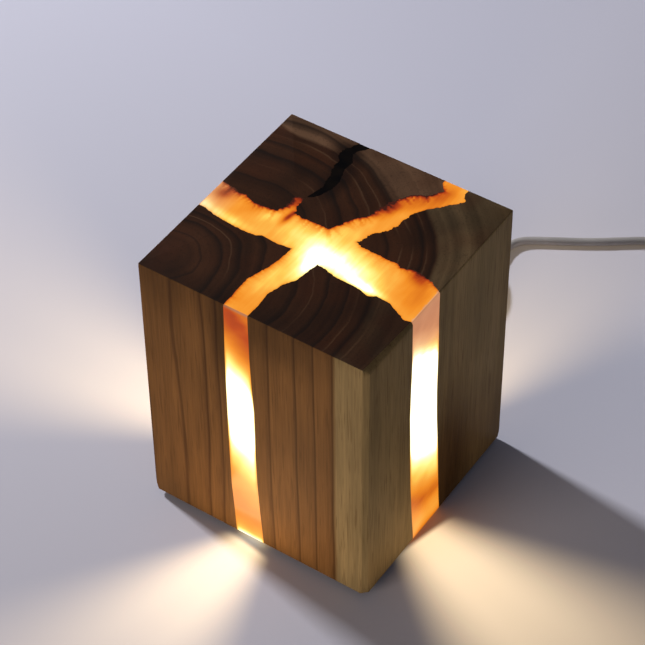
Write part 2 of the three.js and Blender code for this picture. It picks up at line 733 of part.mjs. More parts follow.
// A closed tube round a line of points, with a ring of corners at each
function tube(line, radius, sides) {
  const points = line.map((point) => new THREE.Vector3(...point));
  const up = new THREE.Vector3(0, 0, 1);
  const rings = points.map((point, i) => {
    const ahead = points[Math.min(i + 1, points.length - 1)].clone().sub(points[Math.max(i - 1, 0)]).normalize();
    const side = ahead.clone().cross(up).normalize();
    const over = side.clone().cross(ahead);
    return Array.from({ length: sides }, (_, k) => {
      const angle = (full_turn * (k + 1 / 2)) / sides;
      const corner_point = point.clone().addScaledVector(side, radius * Math.cos(angle));
      return corner_point.addScaledVector(over, radius * Math.sin(angle));
    });
  });
  const index = [];
  for (let k = 0; k + 1 < rings.length; k += 1) {
    for (let i = 0; i < sides; i += 1) {
      const j = (i + 1) % sides;
      const [a, b, c, d] = [k * sides + i, k * sides + j, (k + 1) * sides + j, (k + 1) * sides + i];
      index.push(a, b, c, a, c, d);
    }
  }
  const last = (rings.length - 1) * sides;
  for (let i = 1; i + 1 < sides; i += 1) {
    index.push(0, i + 1, i, last, last + i, last + i + 1);
  }
  const geometry = new THREE.BufferGeometry();
  geometry.setFromPoints(rings.flat());
  geometry.setIndex(index);
  return geometry;
}

// The least gap between the coil's surfaces: centres of points that lie over half a turn apart along it
function leastGap(line) {
  const reach = coil_steps_per_turn / 2;
  let least = Infinity;
  line.forEach((a, i) => {
    line.slice(i + reach).forEach((b) => {
      least = Math.min(least, Math.hypot(a[0] - b[0], a[1] - b[1], a[2] - b[2]));
    });
  });
  return least - cord_diameter;
}

// The tie is a strap round the whole bundle of turns, with its free tail folded back on top.
function addCoilTie() {
  const inner_height = 2 * coil_pitch - (coil_pitch - cord_diameter) + 2 * fit_gap;
  const inner_width = coil_pitch * (turns_per_layer - 1) + cord_diameter + 2 * coil_tie_play;
  const outer_height = inner_height + 2 * coil_tie_thickness;
  const outer_width = inner_width + 2 * coil_tie_thickness;
  const middle_x = coil_centre_x - coil_middle_diameter / 2;
  const rounded = (width, height, radius) => {
    const [w, h] = [width / 2 - radius, height / 2 - radius];
    return new THREE.Shape()
      .absarc(w, h, radius, 0, quarter_turn)
      .absarc(-w, h, radius, quarter_turn, half_turn)
      .absarc(-w, -h, radius, half_turn, half_turn + quarter_turn)
      .absarc(w, -h, radius, half_turn + quarter_turn, full_turn);
  };
  const strap = rounded(outer_width, outer_height, cord_radius + coil_tie_thickness);
  strap.holes.push(rounded(inner_width, inner_height, cord_radius));
  const ring = new THREE.ExtrudeGeometry(strap, { depth: coil_tie_width, bevelEnabled: false, curveSegments: 3 })
    .translate(0, 0, -coil_tie_width / 2)
    .rotateX(quarter_turn)
    .translate(middle_x, coil_centre_y, outer_height / 2);
  const tail = block(coil_tie_tail, coil_tie_width, coil_tie_thickness, middle_x, coil_centre_y, outer_height);
  const lowered = tail.translate(0, 0, -coil_tie_thickness / 4);
  piece('coil_tie', toSolid(ring).add(toSolid(lowered)), materials.tie);
}

// A direction and its places on the table, for the switch and the plug
const along_switch = [Math.cos(switch_heading), Math.sin(switch_heading)];
const beside_switch = [-along_switch[1], along_switch[0]];

function fromSwitch(forward, sideways, z) {
  return [
    switch_centre_x + along_switch[0] * forward + beside_switch[0] * sideways,
    switch_centre_y + along_switch[1] * forward + beside_switch[1] * sideways,
    z,
  ];
}

const switch_axis_z = switch_height / 2;
const cord_seat = switch_nose_length + fit_gap;
const half_switch = switch_length / 2;
const plug_axis_z = plug_body_height / 2;
const plug_back = half_switch - plug_tail_length;
const u_turn_side = 2 * plug_u_turn_radius;

function uTurnPoint(degrees, z) {
  const angle = THREE.MathUtils.degToRad(degrees);
  return fromSwitch(half_switch + plug_u_turn_radius * Math.sin(angle) + cord_diameter,
    plug_u_turn_radius * (1 - Math.cos(angle)), z);
}

function addOuterLead() {
  const [start_x, start_y, start_z] = coilLine()[0];
  const to_coil = [
    [cord_x, half_side + fit_gap, cord_height],
    [cord_x, (half_side + gland_mouth_y) / 2, cord_height],
    [cord_x, gland_mouth_y, cord_height],
    [cord_x, gland_mouth_y + cord_diameter, cord_height],
    [-5.6, 60, 9.2], [-4.2, 63.9, 8.5], [-2, 67.6, 7.5], [0.6, 71.2, 6.5], [3, 75, 5.7], [4.6, 79, 5.2],
    [start_x, start_y - fit_gap, start_z],
  ];
  piece('cord_lamp_to_coil', cordAlong(to_coil, cord_radius, cord_sides, stepsFor(to_coil, cord_diameter)),
    materials.cord);

  const line = coilLine();
  console.log(`least gap of the coil to itself: ${leastGap(line).toFixed(2)} mm`);
  piece('cord_coil', tube(line, cord_radius, coil_sides), materials.cord);

  const [end_x, end_y, end_z] = line.at(-1);
  const heading = coil_leave_angle + quarter_turn;
  const off_coil = [end_x + fit_gap * Math.cos(heading), end_y + fit_gap * Math.sin(heading), end_z];
  const to_switch = [
    off_coil,
    [0, 103, 1.5], [-1.6, 107.6, 1.5], [-2.8, 112.2, 1.5], [-3.2, 116.6, 1.5], [-2.4, 120.4, 1.5],
    [-0.3, 123.3, 1.5], [2.8, 125.6, 1.5], [6.6, 127.9, 1.5], [11.4, 130.8, 1.5], [17, 134.2, 1.5],
    [22.8, 138, 1.5], [28.6, 142.2, 1.5], [35.1, 146.6, 1.6], [38.6, 148.2, 1.8], [42.3, 148.8, 2.2],
    [46, 148.3, 2.8], [49.3, 146.9, 3.6],
    fromSwitch(-half_switch - cord_diameter, 0, switch_axis_z),
    fromSwitch(-half_switch, 0, switch_axis_z),
    fromSwitch(-half_switch + cord_seat, 0, switch_axis_z),
  ];
  piece('cord_coil_to_switch', cordAlong(to_switch, cord_radius, cord_sides, stepsFor(to_switch, cord_diameter)),
    materials.cord);

  const to_plug = [
    fromSwitch(half_switch - cord_seat, 0, switch_axis_z),
    fromSwitch(half_switch, 0, switch_axis_z),
    fromSwitch(half_switch + cord_diameter, 0, switch_axis_z - fit_gap),
    uTurnPoint(30, 3.4), uTurnPoint(60, 2.2), uTurnPoint(90, 1.6), uTurnPoint(120, 1.9), uTurnPoint(150, 3.1),
    fromSwitch(half_switch + cord_diameter, u_turn_side, plug_axis_z),
    fromSwitch(half_switch, u_turn_side, plug_axis_z),
    fromSwitch(half_switch - plug_cord_seat + fit_gap, u_turn_side, plug_axis_z),
  ];
  piece('cord_switch_to_plug', cordAlong(to_plug, cord_radius, cord_sides, stepsFor(to_plug, cord_diameter)),
    materials.cord);
}

// Moulded bodies: rings of rounded-square sections along X. Each ring is a place, a width, a height and the
// squareness of its corners, 2 for an ellipse and more for a squarer one.
function moulded(rings) {
  const outlines = rings.map(([, width, height, squareness]) => {
    return Array.from({ length: mould_points }, (_, i) => {
      const angle = (full_turn * (i + 1 / 2)) / mould_points;
      const [c, s] = [Math.cos(angle), Math.sin(angle)];
      const power = 2 / squareness;
      return [
        (width / 2) * Math.sign(c) * Math.abs(c) ** power,
        (height / 2) * Math.sign(s) * Math.abs(s) ** power,
      ];
    });
  });
  return toSolid(loft(outlines, ([y, z], k) => [rings[k][0], y, z]));
}

// Rings of the switch body: round at the noses, swelling to a soft rectangle. inset draws the whole in.
function switchRings(inset) {
  const ring_shares = [
    [-1, 0, 2], [-0.9, 0.05, 2.1], [-0.8, 0.3, 2.5], [-0.7, 0.72, 3.2], [-0.58, 0.93, 4], [-0.4, 1, 4.4],
    [0.4, 1, 4.4], [0.58, 0.93, 4], [0.7, 0.72, 3.2], [0.8, 0.3, 2.5], [0.9, 0.05, 2.1], [1, 0, 2],
  ];
  return ring_shares.map(([place_share, swell_share, squareness]) => [
    half_switch * place_share,
    switch_nose_diameter + (switch_width - switch_nose_diameter) * swell_share - 2 * inset,
    switch_nose_diameter + (switch_height - switch_nose_diameter) * swell_share - 2 * inset,
    squareness,
  ]);
}

// The rocker's own profile about its pin: a shallow valley on top, ends curved about the pin, a flat keel
function rockerProfile() {
  const half_length = rocker_length / 2;
  const half_skirt = rocker_skirt_length / 2;
  const end_radius = Math.hypot(half_length, rocker_valley + rocker_rise);
  const from = Math.asin((rocker_valley + rocker_rise) / end_radius);
  const drop_share = [0.6, 0.25, -0.1];
  const right_end = drop_share.map((share) => [end_radius * Math.cos(from * share), end_radius * Math.sin(from * share)]);
  const left_end = right_end.map(([x, z]) => [-x, z]).reverse();
  const limit = half_length + rocker_clearance / 4;
  const trimmed = (points) => points.map(([x, z]) => [Math.max(-limit, Math.min(limit, x)), z]);
  return [
    [0, rocker_valley], [-half_length, rocker_valley + rocker_rise], ...trimmed(left_end).reverse(),
    [-half_skirt, -rocker_skirt], [half_skirt, -rocker_skirt], ...trimmed(right_end).reverse(),
    [half_length, rocker_valley + rocker_rise],
  ];
}

function addSwitch() {
  const group = new THREE.Group();
  group.position.set(switch_centre_x, switch_centre_y, switch_axis_z);
  group.rotation.z = switch_heading;
  light.add(group);

  const body = moulded(switchRings(0));
  const hollow_length = switch_length - 2 * switch_nose_length - 2 * switch_wall;
  const hollow = moulded(switchRings(switch_wall)).intersect(toSolid(block(hollow_length, switch_width,
    switch_height, 0, 0, -switch_height / 2)));
  const channel = toSolid(new THREE.CylinderGeometry(cord_bore, cord_bore, switch_length + 2 * overrun,
    small_facets).rotateZ(quarter_turn));
  const upper_half = toSolid(block(switch_length + overrun, switch_width + overrun, switch_height, 0, 0, 0));
  const lower_half = toSolid(block(switch_length + overrun, switch_width + overrun, switch_height, 0, 0,
    -switch_height));

  const diagonal = [[1, 1], [-1, -1]];
  const boss_places = diagonal.map(([sx, sy]) => [sx * switch_screw_offset_x, sy * switch_screw_offset_y]);
  const roof = switch_height / 2 - switch_wall / 2;
  const bosses = boss_places.map(([x, y]) => toSolid(cylinder(switch_boss_radius, 2 * roof, x, y, -roof,
    small_facets)));
  const screw_holes = boss_places.flatMap(([x, y]) => [
    cylinder(switch_screw_radius + fit_gap, switch_screw_length + fit_gap, x, y, -switch_height / 2, small_facets),
    cylinder(switch_screw_head_radius + fit_gap, 2 * switch_screw_head_height, x, y,
      -switch_height / 2 - switch_screw_head_height, small_facets),
  ]);

  const aperture_length = rocker_length + 2 * rocker_clearance;
  const aperture_width = rocker_width + 2 * fit_gap;
  const aperture = block(aperture_length, aperture_width, switch_height, 0, 0, pivot_height);
  const ear_y = aperture_width / 2 + ear_thickness / 2;
  const ear_height = switch_height / 2 - switch_wall / 2 - pivot_height + ear_drop;
  const ears = [1, -1].map((sign) => toSolid(block(2 * ear_drop, ear_thickness, ear_height, 0, sign * ear_y,
    pivot_height - ear_drop)));
  const pin_hole = new THREE.CylinderGeometry(pin_radius + pin_clearance, pin_radius + pin_clearance,
    aperture_width + 2 * ear_thickness, small_facets).translate(0, 0, pivot_height);

  const shell = body.subtract(hollow).subtract(channel);
  const inside = (solid) => solid.intersect(body);
  const upper = [...bosses, ...ears].reduce((whole, part) => whole.add(inside(part)), shell).intersect(upper_half);
  const lower = bosses.reduce((whole, part) => whole.add(inside(part)), shell).intersect(lower_half);
  piece('switch_upper_shell', subtractAll(upper, [aperture, pin_hole, ...screw_holes]), materials.switch_shell, group);
  piece('switch_lower_shell', subtractAll(lower, screw_holes), materials.switch_shell, group);

  const pin_length = aperture_width + 2 * ear_thickness - 2 * fit_gap;
  const pin = new THREE.CylinderGeometry(pin_radius, pin_radius, pin_length, small_facets);
  piece('switch_pivot_pin', pin, materials.steel, group).position.z = pivot_height;

  const tilted = new THREE.Group();
  tilted.position.z = pivot_height;
  tilted.rotation.y = rocker_tilt;
  group.add(tilted);
  const rocker_bore = new THREE.CylinderGeometry(pin_radius + pin_clearance, pin_radius + pin_clearance,
    rocker_width + 2 * overrun, small_facets);
  const rocker = subtractAll(toSolid(carried(rockerProfile(), rocker_width)), [rocker_bore]);
  piece('switch_rocker', rocker, materials.rocker, tilted);
  const bridge = block(bridge_length, bridge_width, bridge_thickness, 0, 0, -rocker_skirt - bridge_thickness);
  piece('switch_bridge', bridge, materials.brass, tilted);

  const floor_z = -switch_height / 2 + switch_wall + fit_gap;
  const bridge_low = pivot_height - (rocker_skirt + bridge_thickness) * Math.cos(rocker_tilt) - fit_gap;
  [0, contact_offset].forEach((x, i) => {
    const near_side = (x + terminal_thickness) * Math.tan(rocker_tilt);
    const top = bridge_low - near_side;
    const strip = [
      [x - terminal_thickness / 2, floor_z], [x + terminal_foot_length, floor_z],
      [x + terminal_foot_length, floor_z + terminal_thickness], [x + terminal_thickness / 2, floor_z + terminal_thickness],
      [x + terminal_thickness / 2, top], [x - terminal_thickness / 2, top],
    ];
    piece(`switch_terminal_${i + 1}`, carried(strip, bridge_width), materials.brass, group);
  });

  const wire_y = -switch_width / 2 + switch_wall + 3 * wire_radius;
  const wire_z = floor_z + 3 * wire_radius;
  const wire_end = half_switch - cord_seat - fit_gap;
  const wire_bend = (4 / 5) * switch_screw_offset_x;
  const route = (sign) => [
    [sign * wire_end, 0, 0], [sign * (wire_end - 2 * wire_radius), 0, 0],
    [sign * wire_bend, wire_y / 4, wire_z / 2], [(sign * switch_screw_offset_x) / 2, wire_y, wire_z],
  ];
  const through = [...route(-1), [0, wire_y, wire_z], ...route(1).reverse()];
  piece('switch_wire', cordAlong(through, wire_radius, wire_sides, 2 * wire_steps), materials.red_wire, group);

  boss_places.forEach(([x, y], i) => {
    const body_screw = screw(switch_screw_radius, switch_screw_head_radius, switch_screw_head_height / 2,
      switch_screw_length - switch_screw_head_height, switch_screw_radius);
    const part = piece(`switch_screw_${i + 1}`, body_screw, materials.steel, group);
    part.position.set(x, y, -switch_height / 2 + switch_screw_head_height / 2);
  });
}

// The plug: an overmoulded body with a tapering tail, a folded metal shell, a tongue and four contacts
function addPlug() {
  const group = new THREE.Group();
  const [x, y, z] = fromSwitch(half_switch, u_turn_side, plug_axis_z);
  group.position.set(x, y, z);
  group.rotation.z = switch_heading + half_turn;
  light.add(group);

  const body_end = plug_tail_length + plug_body_length;
  const body_edge = cord_radius / 2;
  const rings = [
    [0, plug_tail_diameter, plug_tail_diameter, 2],
    [plug_tail_length / 2, plug_tail_diameter + body_edge, plug_tail_diameter + body_edge, 2],
    [plug_tail_length, plug_tail_diameter + 2 * body_edge, plug_tail_diameter + 2 * body_edge, 2.2],
    [plug_tail_length + 2 * body_edge, plug_body_width - 2 * body_edge, plug_body_height - body_edge, 3.6],
    [plug_tail_length + 4 * body_edge, plug_body_width, plug_body_height, 5],
    [body_end - body_edge, plug_body_width, plug_body_height, 5],
    [body_end, plug_body_width - body_edge, plug_body_height - body_edge, 5],
  ];
  const bore = new THREE.CylinderGeometry(cord_bore, cord_bore, 2 * plug_cord_seat, small_facets)
    .rotateZ(quarter_turn);
  const seat_x = body_end - plug_shell_seat;
  const seat = block(plug_shell_seat + overrun, plug_shell_width + 2 * fit_gap, plug_shell_height + 2 * fit_gap,
    seat_x + (plug_shell_seat + overrun) / 2, 0, -plug_shell_height / 2 - fit_gap);
  piece('plug_body', subtractAll(moulded(rings), [bore, seat]), materials.cord, group);

  const shell_start = seat_x + fit_gap;
  const shell_end = body_end + plug_shell_length - plug_shell_seat;
  const shell_length = shell_end - shell_start;
  const outline = (inset, length, start) => {
    const [w, h] = [plug_shell_width / 2 - inset, plug_shell_height / 2 - inset];
    const c = plug_shell_corner - inset;
    const shape = new THREE.Shape([
      [w - c, -h], [w, -h + c], [w, h - c], [w - c, h], [c - w, h], [-w, h - c], [-w, c - h], [c - w, -h],
    ].map(([u, v]) => new THREE.Vector2(u, v)));
    return toSolid(new THREE.ExtrudeGeometry(shape, { depth: length, bevelEnabled: false })
      .rotateX(quarter_turn).rotateZ(quarter_turn).translate(start, 0, 0));
  };
  const windows = [1, -1].map((sign) => block(plug_window_length, plug_window_width, plug_shell_height + 2 * overrun,
    shell_end - plug_window_from_tip, sign * plug_window_offset, -plug_shell_height / 2 - overrun));
  const bore_inside = outline(plug_shell_wall, shell_length + 2 * overrun, shell_start - overrun);
  const shell = outline(0, shell_length, shell_start).subtract(bore_inside);
  piece('plug_shell', subtractAll(shell, windows), materials.steel, group);

  const tongue_z = -plug_shell_height / 2 + plug_shell_wall + fit_gap;
  const tongue_width = plug_shell_width - 2 * plug_shell_wall - 2 * plug_shell_corner;
  const tongue = block(plug_tongue_length, tongue_width, plug_tongue_thickness,
    shell_start + plug_tongue_length / 2, 0, tongue_z);
  piece('plug_tongue', tongue, materials.tongue, group);
  for (let i = 0; i < contact_count; i += 1) {
    const contact_y = plug_contact_pitch * (i - (contact_count - 1) / 2);
    const contact = block(plug_contact_length, plug_contact_width, plug_contact_thickness,
      shell_start + plug_tongue_length - plug_contact_length / 2 - fit_gap, contact_y,
      tongue_z + plug_tongue_thickness);
    piece(`plug_contact_${i + 1}`, contact, materials.brass, group);
  }
}

addBlock();
addCover();
addFeet();
addModule();
addInnerLead();
addGland();
addOuterLead();
addCoilTie();
addSwitch();
addPlug();

export default light;
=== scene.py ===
# %% [markdown]
# A night light on a low-voltage lead: a block of dark hardwood, riven in a cross and cast together again
# with clear resin.
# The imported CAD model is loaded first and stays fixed. This script dresses it. What has the right shape
# already only gets a finish, and what the CAD model keeps plain, such as the riven wood, gets a finer piece.

# %% Load the frame
import math

import bmesh
import bpy
import numpy as np
from mathutils import Matrix, Vector
from mathutils.geometry import delaunay_2d_cdt


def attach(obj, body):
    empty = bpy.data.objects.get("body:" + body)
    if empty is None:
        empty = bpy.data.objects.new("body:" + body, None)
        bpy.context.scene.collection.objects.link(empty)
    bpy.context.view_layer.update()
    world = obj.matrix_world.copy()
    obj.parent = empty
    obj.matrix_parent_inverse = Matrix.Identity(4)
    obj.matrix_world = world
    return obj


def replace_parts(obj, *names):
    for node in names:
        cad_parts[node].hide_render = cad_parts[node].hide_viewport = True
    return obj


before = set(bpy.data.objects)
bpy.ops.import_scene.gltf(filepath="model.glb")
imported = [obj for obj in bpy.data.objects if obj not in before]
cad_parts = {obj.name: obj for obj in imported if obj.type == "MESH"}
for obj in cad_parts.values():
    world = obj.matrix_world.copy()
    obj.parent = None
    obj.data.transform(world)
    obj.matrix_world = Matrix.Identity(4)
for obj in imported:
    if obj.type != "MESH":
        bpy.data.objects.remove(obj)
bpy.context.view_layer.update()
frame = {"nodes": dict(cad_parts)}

mm = 0.001
nodes = frame["nodes"]
print("CAD nodes:", len(nodes))

# %% [markdown]
# The camera stands where the photograph was taken from. It could be placed by eye, but its place was worked
# out from the seven corners of the block that the photograph shows: 34.3 degrees round to the right, 45.6
# degrees up, 0.78 m away, with a long lens. Its three axes are built from those angles.

# %% Camera
camera_aim = np.array((-10.19, 11.884, 50.0))
camera_distance = 778.8
camera_azimuth = math.radians(34.27)
camera_elevation = math.radians(45.557)
camera_roll = math.radians(-0.649)

camera_back = np.array((math.sin(camera_azimuth) * math.cos(camera_elevation),
                        -math.cos(camera_azimuth) * math.cos(camera_elevation), math.sin(camera_elevation)))
camera_place = camera_aim + camera_distance * camera_back
level_right = np.array((math.cos(camera_azimuth), math.sin(camera_azimuth), 0))
level_up = np.cross(camera_back, level_right)
camera_right = math.cos(camera_roll) * level_right + math.sin(camera_roll) * level_up
camera_up = -math.sin(camera_roll) * level_right + math.cos(camera_roll) * level_up

camera = bpy.data.objects.new("camera", bpy.data.cameras.new("camera"))
bpy.context.scene.collection.objects.link(camera)
turn = Matrix(np.column_stack((camera_right, camera_up, camera_back)).tolist()).to_4x4()
camera.matrix_world = Matrix.Translation((mm * camera_place).tolist()) @ turn
camera.data.lens = 138.6
camera.data.sensor_width = 36
camera.data.clip_start = 0.05
bpy.context.scene.camera = camera
print("camera stands at, mm:", camera_place.round(1).tolist())

# %% [markdown]
# A material is a small net of nodes. It could be clicked together in the editor, but as text it can be read
# and repeated. One function adds any node with its settings and its links, so that each finish below reads
# as a list of what it is made of. Colours are written as sRGB hex values, as a paint chart gives them, and
# one function turns them into the linear values that the renderer works in.

# %% Helpers for finishes
def linear(hex_colour):
    """The linear RGBA of an sRGB hex colour: each channel is undone from the sRGB curve."""
    srgb = np.array([int(hex_colour[i:i + 2], 16) for i in (1, 3, 5)]) / 255
    low = srgb / 12.92
    high = ((srgb + 0.055) / 1.055) ** 2.4
    return (*np.where(srgb <= 0.04045, low, high).tolist(), 1.0)


def add(tree, kind, inputs=None, out=None, stops=(), **settings):
    """Adds one node with its settings. inputs maps a socket's name or number to a value, or to the output
    that feeds it. stops are the (place, value) of a colour ramp in order, where a value is a hex colour, or
    a number for a plain grey. Gives the node, or the one of its outputs that out names or numbers."""
    made = tree.nodes.new("ShaderNode" + kind)
    for name, value in settings.items():
        setattr(made, name, value)
    for name, value in (inputs or {}).items():
        if isinstance(value, bpy.types.NodeSocket):
            tree.links.new(value, made.inputs[name])
        else:
            made.inputs[name].default_value = value
    if stops:
        elements = made.color_ramp.elements
        while len(elements) < len(stops):
            elements.new(1.0)
        for element, (place, colour) in zip(elements, stops):
            element.position = place
            element.color = linear(colour) if isinstance(colour, str) else (colour, colour, colour, 1.0)
    return made if out is None else made.outputs[out]


def finish(name, **values):
    """A new material with a Principled BSDF whose named sockets hold values. Gives material, tree, shader."""
    made = bpy.data.materials.new(name)
    made.use_nodes = True
    tree = made.node_tree
    tree.nodes.clear()
    shader = add(tree, "BsdfPrincipled", values)
    add(tree, "OutputMaterial", {"Surface": shader.outputs["BSDF"]})
    return made, tree, shader


def feed(shader, sockets):
    """Links outputs to the shader's named sockets."""
    for name, output in sockets.items():
        shader.id_data.links.new(output, shader.inputs[name])


def in_millimetres(tree, stretch=(1, 1, 1)):
    """Object coordinates in millimetres, so that every pattern's scale is one over its real size."""
    place = add(tree, "TexCoord", out="Object")
    scale = tuple(value / mm for value in stretch)
    return add(tree, "VectorMath", {0: place, 1: scale}, 0, operation="MULTIPLY")


def speckle(tree, size_mm, detail=2.0, stretch=(1, 1, 1), roughness=0.5):
    """A pattern of lumps about size_mm across, drawn out along the axes where stretch is under 1."""
    return add(tree, "TexNoise", {"Vector": in_millimetres(tree, stretch), "Scale": 1 / size_mm,
                                  "Detail": detail, "Roughness": roughness}, "Fac")


print("the mid grey #808080 is", round(linear("#808080")[0], 3), "in linear light")

# %% [markdown]
# The lead is a thin round low-voltage cable. It leaves the strain relief at the rear, lies down on the table,
# and the spare length is coiled close behind the block. From there it passes the block's right
# side, as the photograph shows, to the switch, turns back and ends in the plug. It could be a mesh tube,
# but a curve with a round bevel keeps its section everywhere and is measured along its own line.

# %% Sizes along the lead, in mm
cord_diameter = 3.0
coil_centre = np.array((-18.0, 86.0))
coil_middle_diameter = 36.0
coil_pitch = 3.5
turns_per_layer = 3
coil_leave_angle = math.radians(25)
coil_step = math.radians(5)
tie_half_width = 4.0
hump_height = 1.1
hump_ramp = 9.0
full_turn = 2 * math.pi

switch_centre = np.array((65.0, 122.0))
switch_heading = math.radians(-62)
switch_ahead = np.array((math.cos(switch_heading), math.sin(switch_heading)))
switch_aside = np.array((-switch_ahead[1], switch_ahead[0]))
half_switch = 19.0
switch_axis_z = 5.5
plug_axis_z = 4.2
u_turn_radius = 12.5
into_switch = 5.3
into_plug = 4.2
print("the coil is across, mm:", coil_middle_diameter + coil_pitch * turns_per_layer)

# %% How the lead's line is drawn
def from_switch(forward, sideways, z):
    """The place forward along the switch and sideways to its left, at height z."""
    x, y = switch_centre + forward * switch_ahead + sideways * switch_aside
    return (x, y, z)


def u_turn(degrees, z):
    """A place on the half circle in which the lead turns back beyond the switch."""
    angle = math.radians(degrees)
    forward = half_switch + cord_diameter + u_turn_radius * math.sin(angle)
    return from_switch(forward, u_turn_radius * (1 - math.cos(angle)), z)


def smooth_line(points, per_span=12):
    """A smooth curve through all the points. Between two points it is blended from four neighbours, whose
    knots lie apart by the square root of their distance, so that it never loops. All spans at once."""
    points = np.array(points, float)
    points = np.vstack((2 * points[0] - points[1], points, 2 * points[-1] - points[-2]))
    p = [points[i:len(points) - 3 + i, None, :] for i in range(4)]
    knots = [np.zeros((len(points) - 3, 1, 1))]
    for a, b in zip(p, p[1:]):
        knots.append(knots[-1] + np.linalg.norm(b - a, axis=2, keepdims=True) ** 0.5)
    share = np.arange(per_span)[None, :, None] / per_span
    t = knots[1] + (knots[2] - knots[1]) * share

    def between(a, b, low, high):
        return ((high - t) * a + (t - low) * b) / (high - low)

    first = [between(p[i], p[i + 1], knots[i], knots[i + 1]) for i in range(3)]
    second = [between(first[i], first[i + 1], knots[i], knots[i + 2]) for i in range(2)]
    line = between(second[0], second[1], knots[1], knots[2]).reshape(-1, 3)
    return np.vstack((line, points[-2]))


def coil_line():
    """The coil. The radius shrinks by one pitch a turn on the upper layer and grows again on the lower one.
    The height drops one pitch, along a smooth step, in the half turn where the spiral reverses, and rises
    by a cosine hump where the tie passes under the turns."""
    outer = coil_middle_diameter / 2 + coil_pitch * turns_per_layer / 2
    inner = outer - coil_pitch * turns_per_layer
    reversal = full_turn * turns_per_layer
    angle = np.arange(0, 2 * reversal + coil_leave_angle + coil_step / 2, coil_step)
    radius = inner + coil_pitch * np.abs(reversal - angle) / full_turn
    through = np.clip((angle - reversal) / math.pi + 0.5, 0, 1)
    z = cord_diameter / 2 + coil_pitch * (1 - through * through * (3 - 2 * through))
    from_tie = np.abs(angle % full_turn - math.pi) * radius - tie_half_width
    z += hump_height * (1 + np.cos(math.pi * np.clip(from_tie / hump_ramp, 0, 1))) / 2
    x, y = coil_centre
    return np.column_stack((x + radius * np.cos(angle), y + radius * np.sin(angle), z))


turns = coil_line()
print("points of the coil:", len(turns))

# %% The route, in mm: out of the rear face, down to the coil, then off the coil and to the switch
rear_face = 40.0
gland_mouth = 53.0
exit_height = 9.5
to_coil = [(-6, rear_face + 0.3, exit_height), (-6, 46.5, exit_height), (-6, gland_mouth, exit_height),
           (-6, 56, exit_height), (-5.6, 60, 9.2), (-4.2, 63.9, 8.5), (-2, 67.6, 7.5), (0.6, 71.2, 6.5),
           (3, 75, 5.7), (4.6, 79, 5.2), (turns[0][0], turns[0][1] - cord_diameter, 5)]
past_the_block = [
    (0, 103, 1.5), (-1.6, 107.6, 1.5), (-2.8, 112.2, 1.5), (-3.2, 116.6, 1.5), (-2.4, 120.4, 1.5),
    (-0.3, 123.3, 1.5), (2.8, 125.6, 1.5), (6.6, 127.9, 1.5), (11.4, 130.8, 1.5), (17, 134.2, 1.5),
    (22.8, 138, 1.5), (28.6, 142.2, 1.5), (35.1, 146.6, 1.6), (38.6, 148.2, 1.8), (42.3, 148.8, 2.2),
    (46, 148.3, 2.8), (49.3, 146.9, 3.6), from_switch(-half_switch - cord_diameter, 0, switch_axis_z),
    from_switch(-half_switch, 0, switch_axis_z), from_switch(-half_switch + into_switch, 0, switch_axis_z)]
leave = coil_leave_angle + math.pi / 2
off_coil = turns[-1] + cord_diameter * np.array((math.cos(leave), math.sin(leave), 0))
lamp_to_switch = np.vstack((smooth_line(to_coil), turns, smooth_line([off_coil, *past_the_block])))
switch_to_plug = smooth_line([
    from_switch(half_switch - into_switch, 0, switch_axis_z), from_switch(half_switch, 0, switch_axis_z),
    from_switch(half_switch + cord_diameter, 0, switch_axis_z - 0.3), u_turn(30, 3.4), u_turn(60, 2.2),
    u_turn(90, 1.6), u_turn(120, 1.9), u_turn(150, 3.1),
    from_switch(half_switch + cord_diameter, 2 * u_turn_radius, plug_axis_z),
    from_switch(half_switch, 2 * u_turn_radius, plug_axis_z),
    from_switch(half_switch - into_plug, 2 * u_turn_radius, plug_axis_z)])


def length_of(line):
    """The sum of the distances between neighbouring points."""
    return float(np.linalg.norm(np.diff(line, axis=0), axis=1).sum())


print("lead from lamp to switch, mm:", round(length_of(lamp_to_switch)))
print("lead from switch to plug, mm:", round(length_of(switch_to_plug)))

# %% [markdown]
# The jacket is soft PVC, extruded in one light grey colour. Extrusion leaves it satin and almost smooth,
# with a faint orange-peel that breaks up the highlight. One flat grey would do from afar, but up close it
# looks like paint, so the tone drifts a little and a fine noise stands in for the peel.

# %% Lead
cord_jacket, tree, shader = finish("soft PVC jacket, extruded", Roughness=0.42, IOR=1.53)
tone, orange_peel = speckle(tree, 9.0), speckle(tree, 0.5)
feed(shader, {
    "Base Color": add(tree, "ValToRGB", {"Fac": tone}, "Color", [(0.3, "#a9a39f"), (0.7, "#bab4b0")]),
    "Normal": add(tree, "Bump", {"Height": orange_peel, "Distance": 0.02 * mm}, "Normal")})


def round_cord(name, line):
    """A curve of one open spline through line, with a round bevel of the lead's radius."""
    curve = bpy.data.curves.new(name, "CURVE")
    curve.dimensions = "3D"
    curve.bevel_depth = cord_diameter / 2 * mm
    curve.bevel_resolution = 4
    curve.use_fill_caps = True
    spline = curve.splines.new("POLY")
    spline.points.add(len(line) - 1)
    spline.points.foreach_set("co", np.column_stack((line * mm, np.ones(len(line)))).ravel())
    spline.use_smooth = True
    made = bpy.data.objects.new(name, curve)
    bpy.context.scene.collection.objects.link(made)
    made.data.materials.append(cord_jacket)
    return made


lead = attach(round_cord("lead_lamp_to_switch", lamp_to_switch), "lamp")
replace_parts(lead, "cord_lamp_to_coil", "cord_coil", "cord_coil_to_switch")
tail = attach(round_cord("lead_switch_to_plug", switch_to_plug), "lamp")
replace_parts(tail, "cord_switch_to_plug")
print("points of the two curves:", len(lamp_to_switch), len(switch_to_plug))

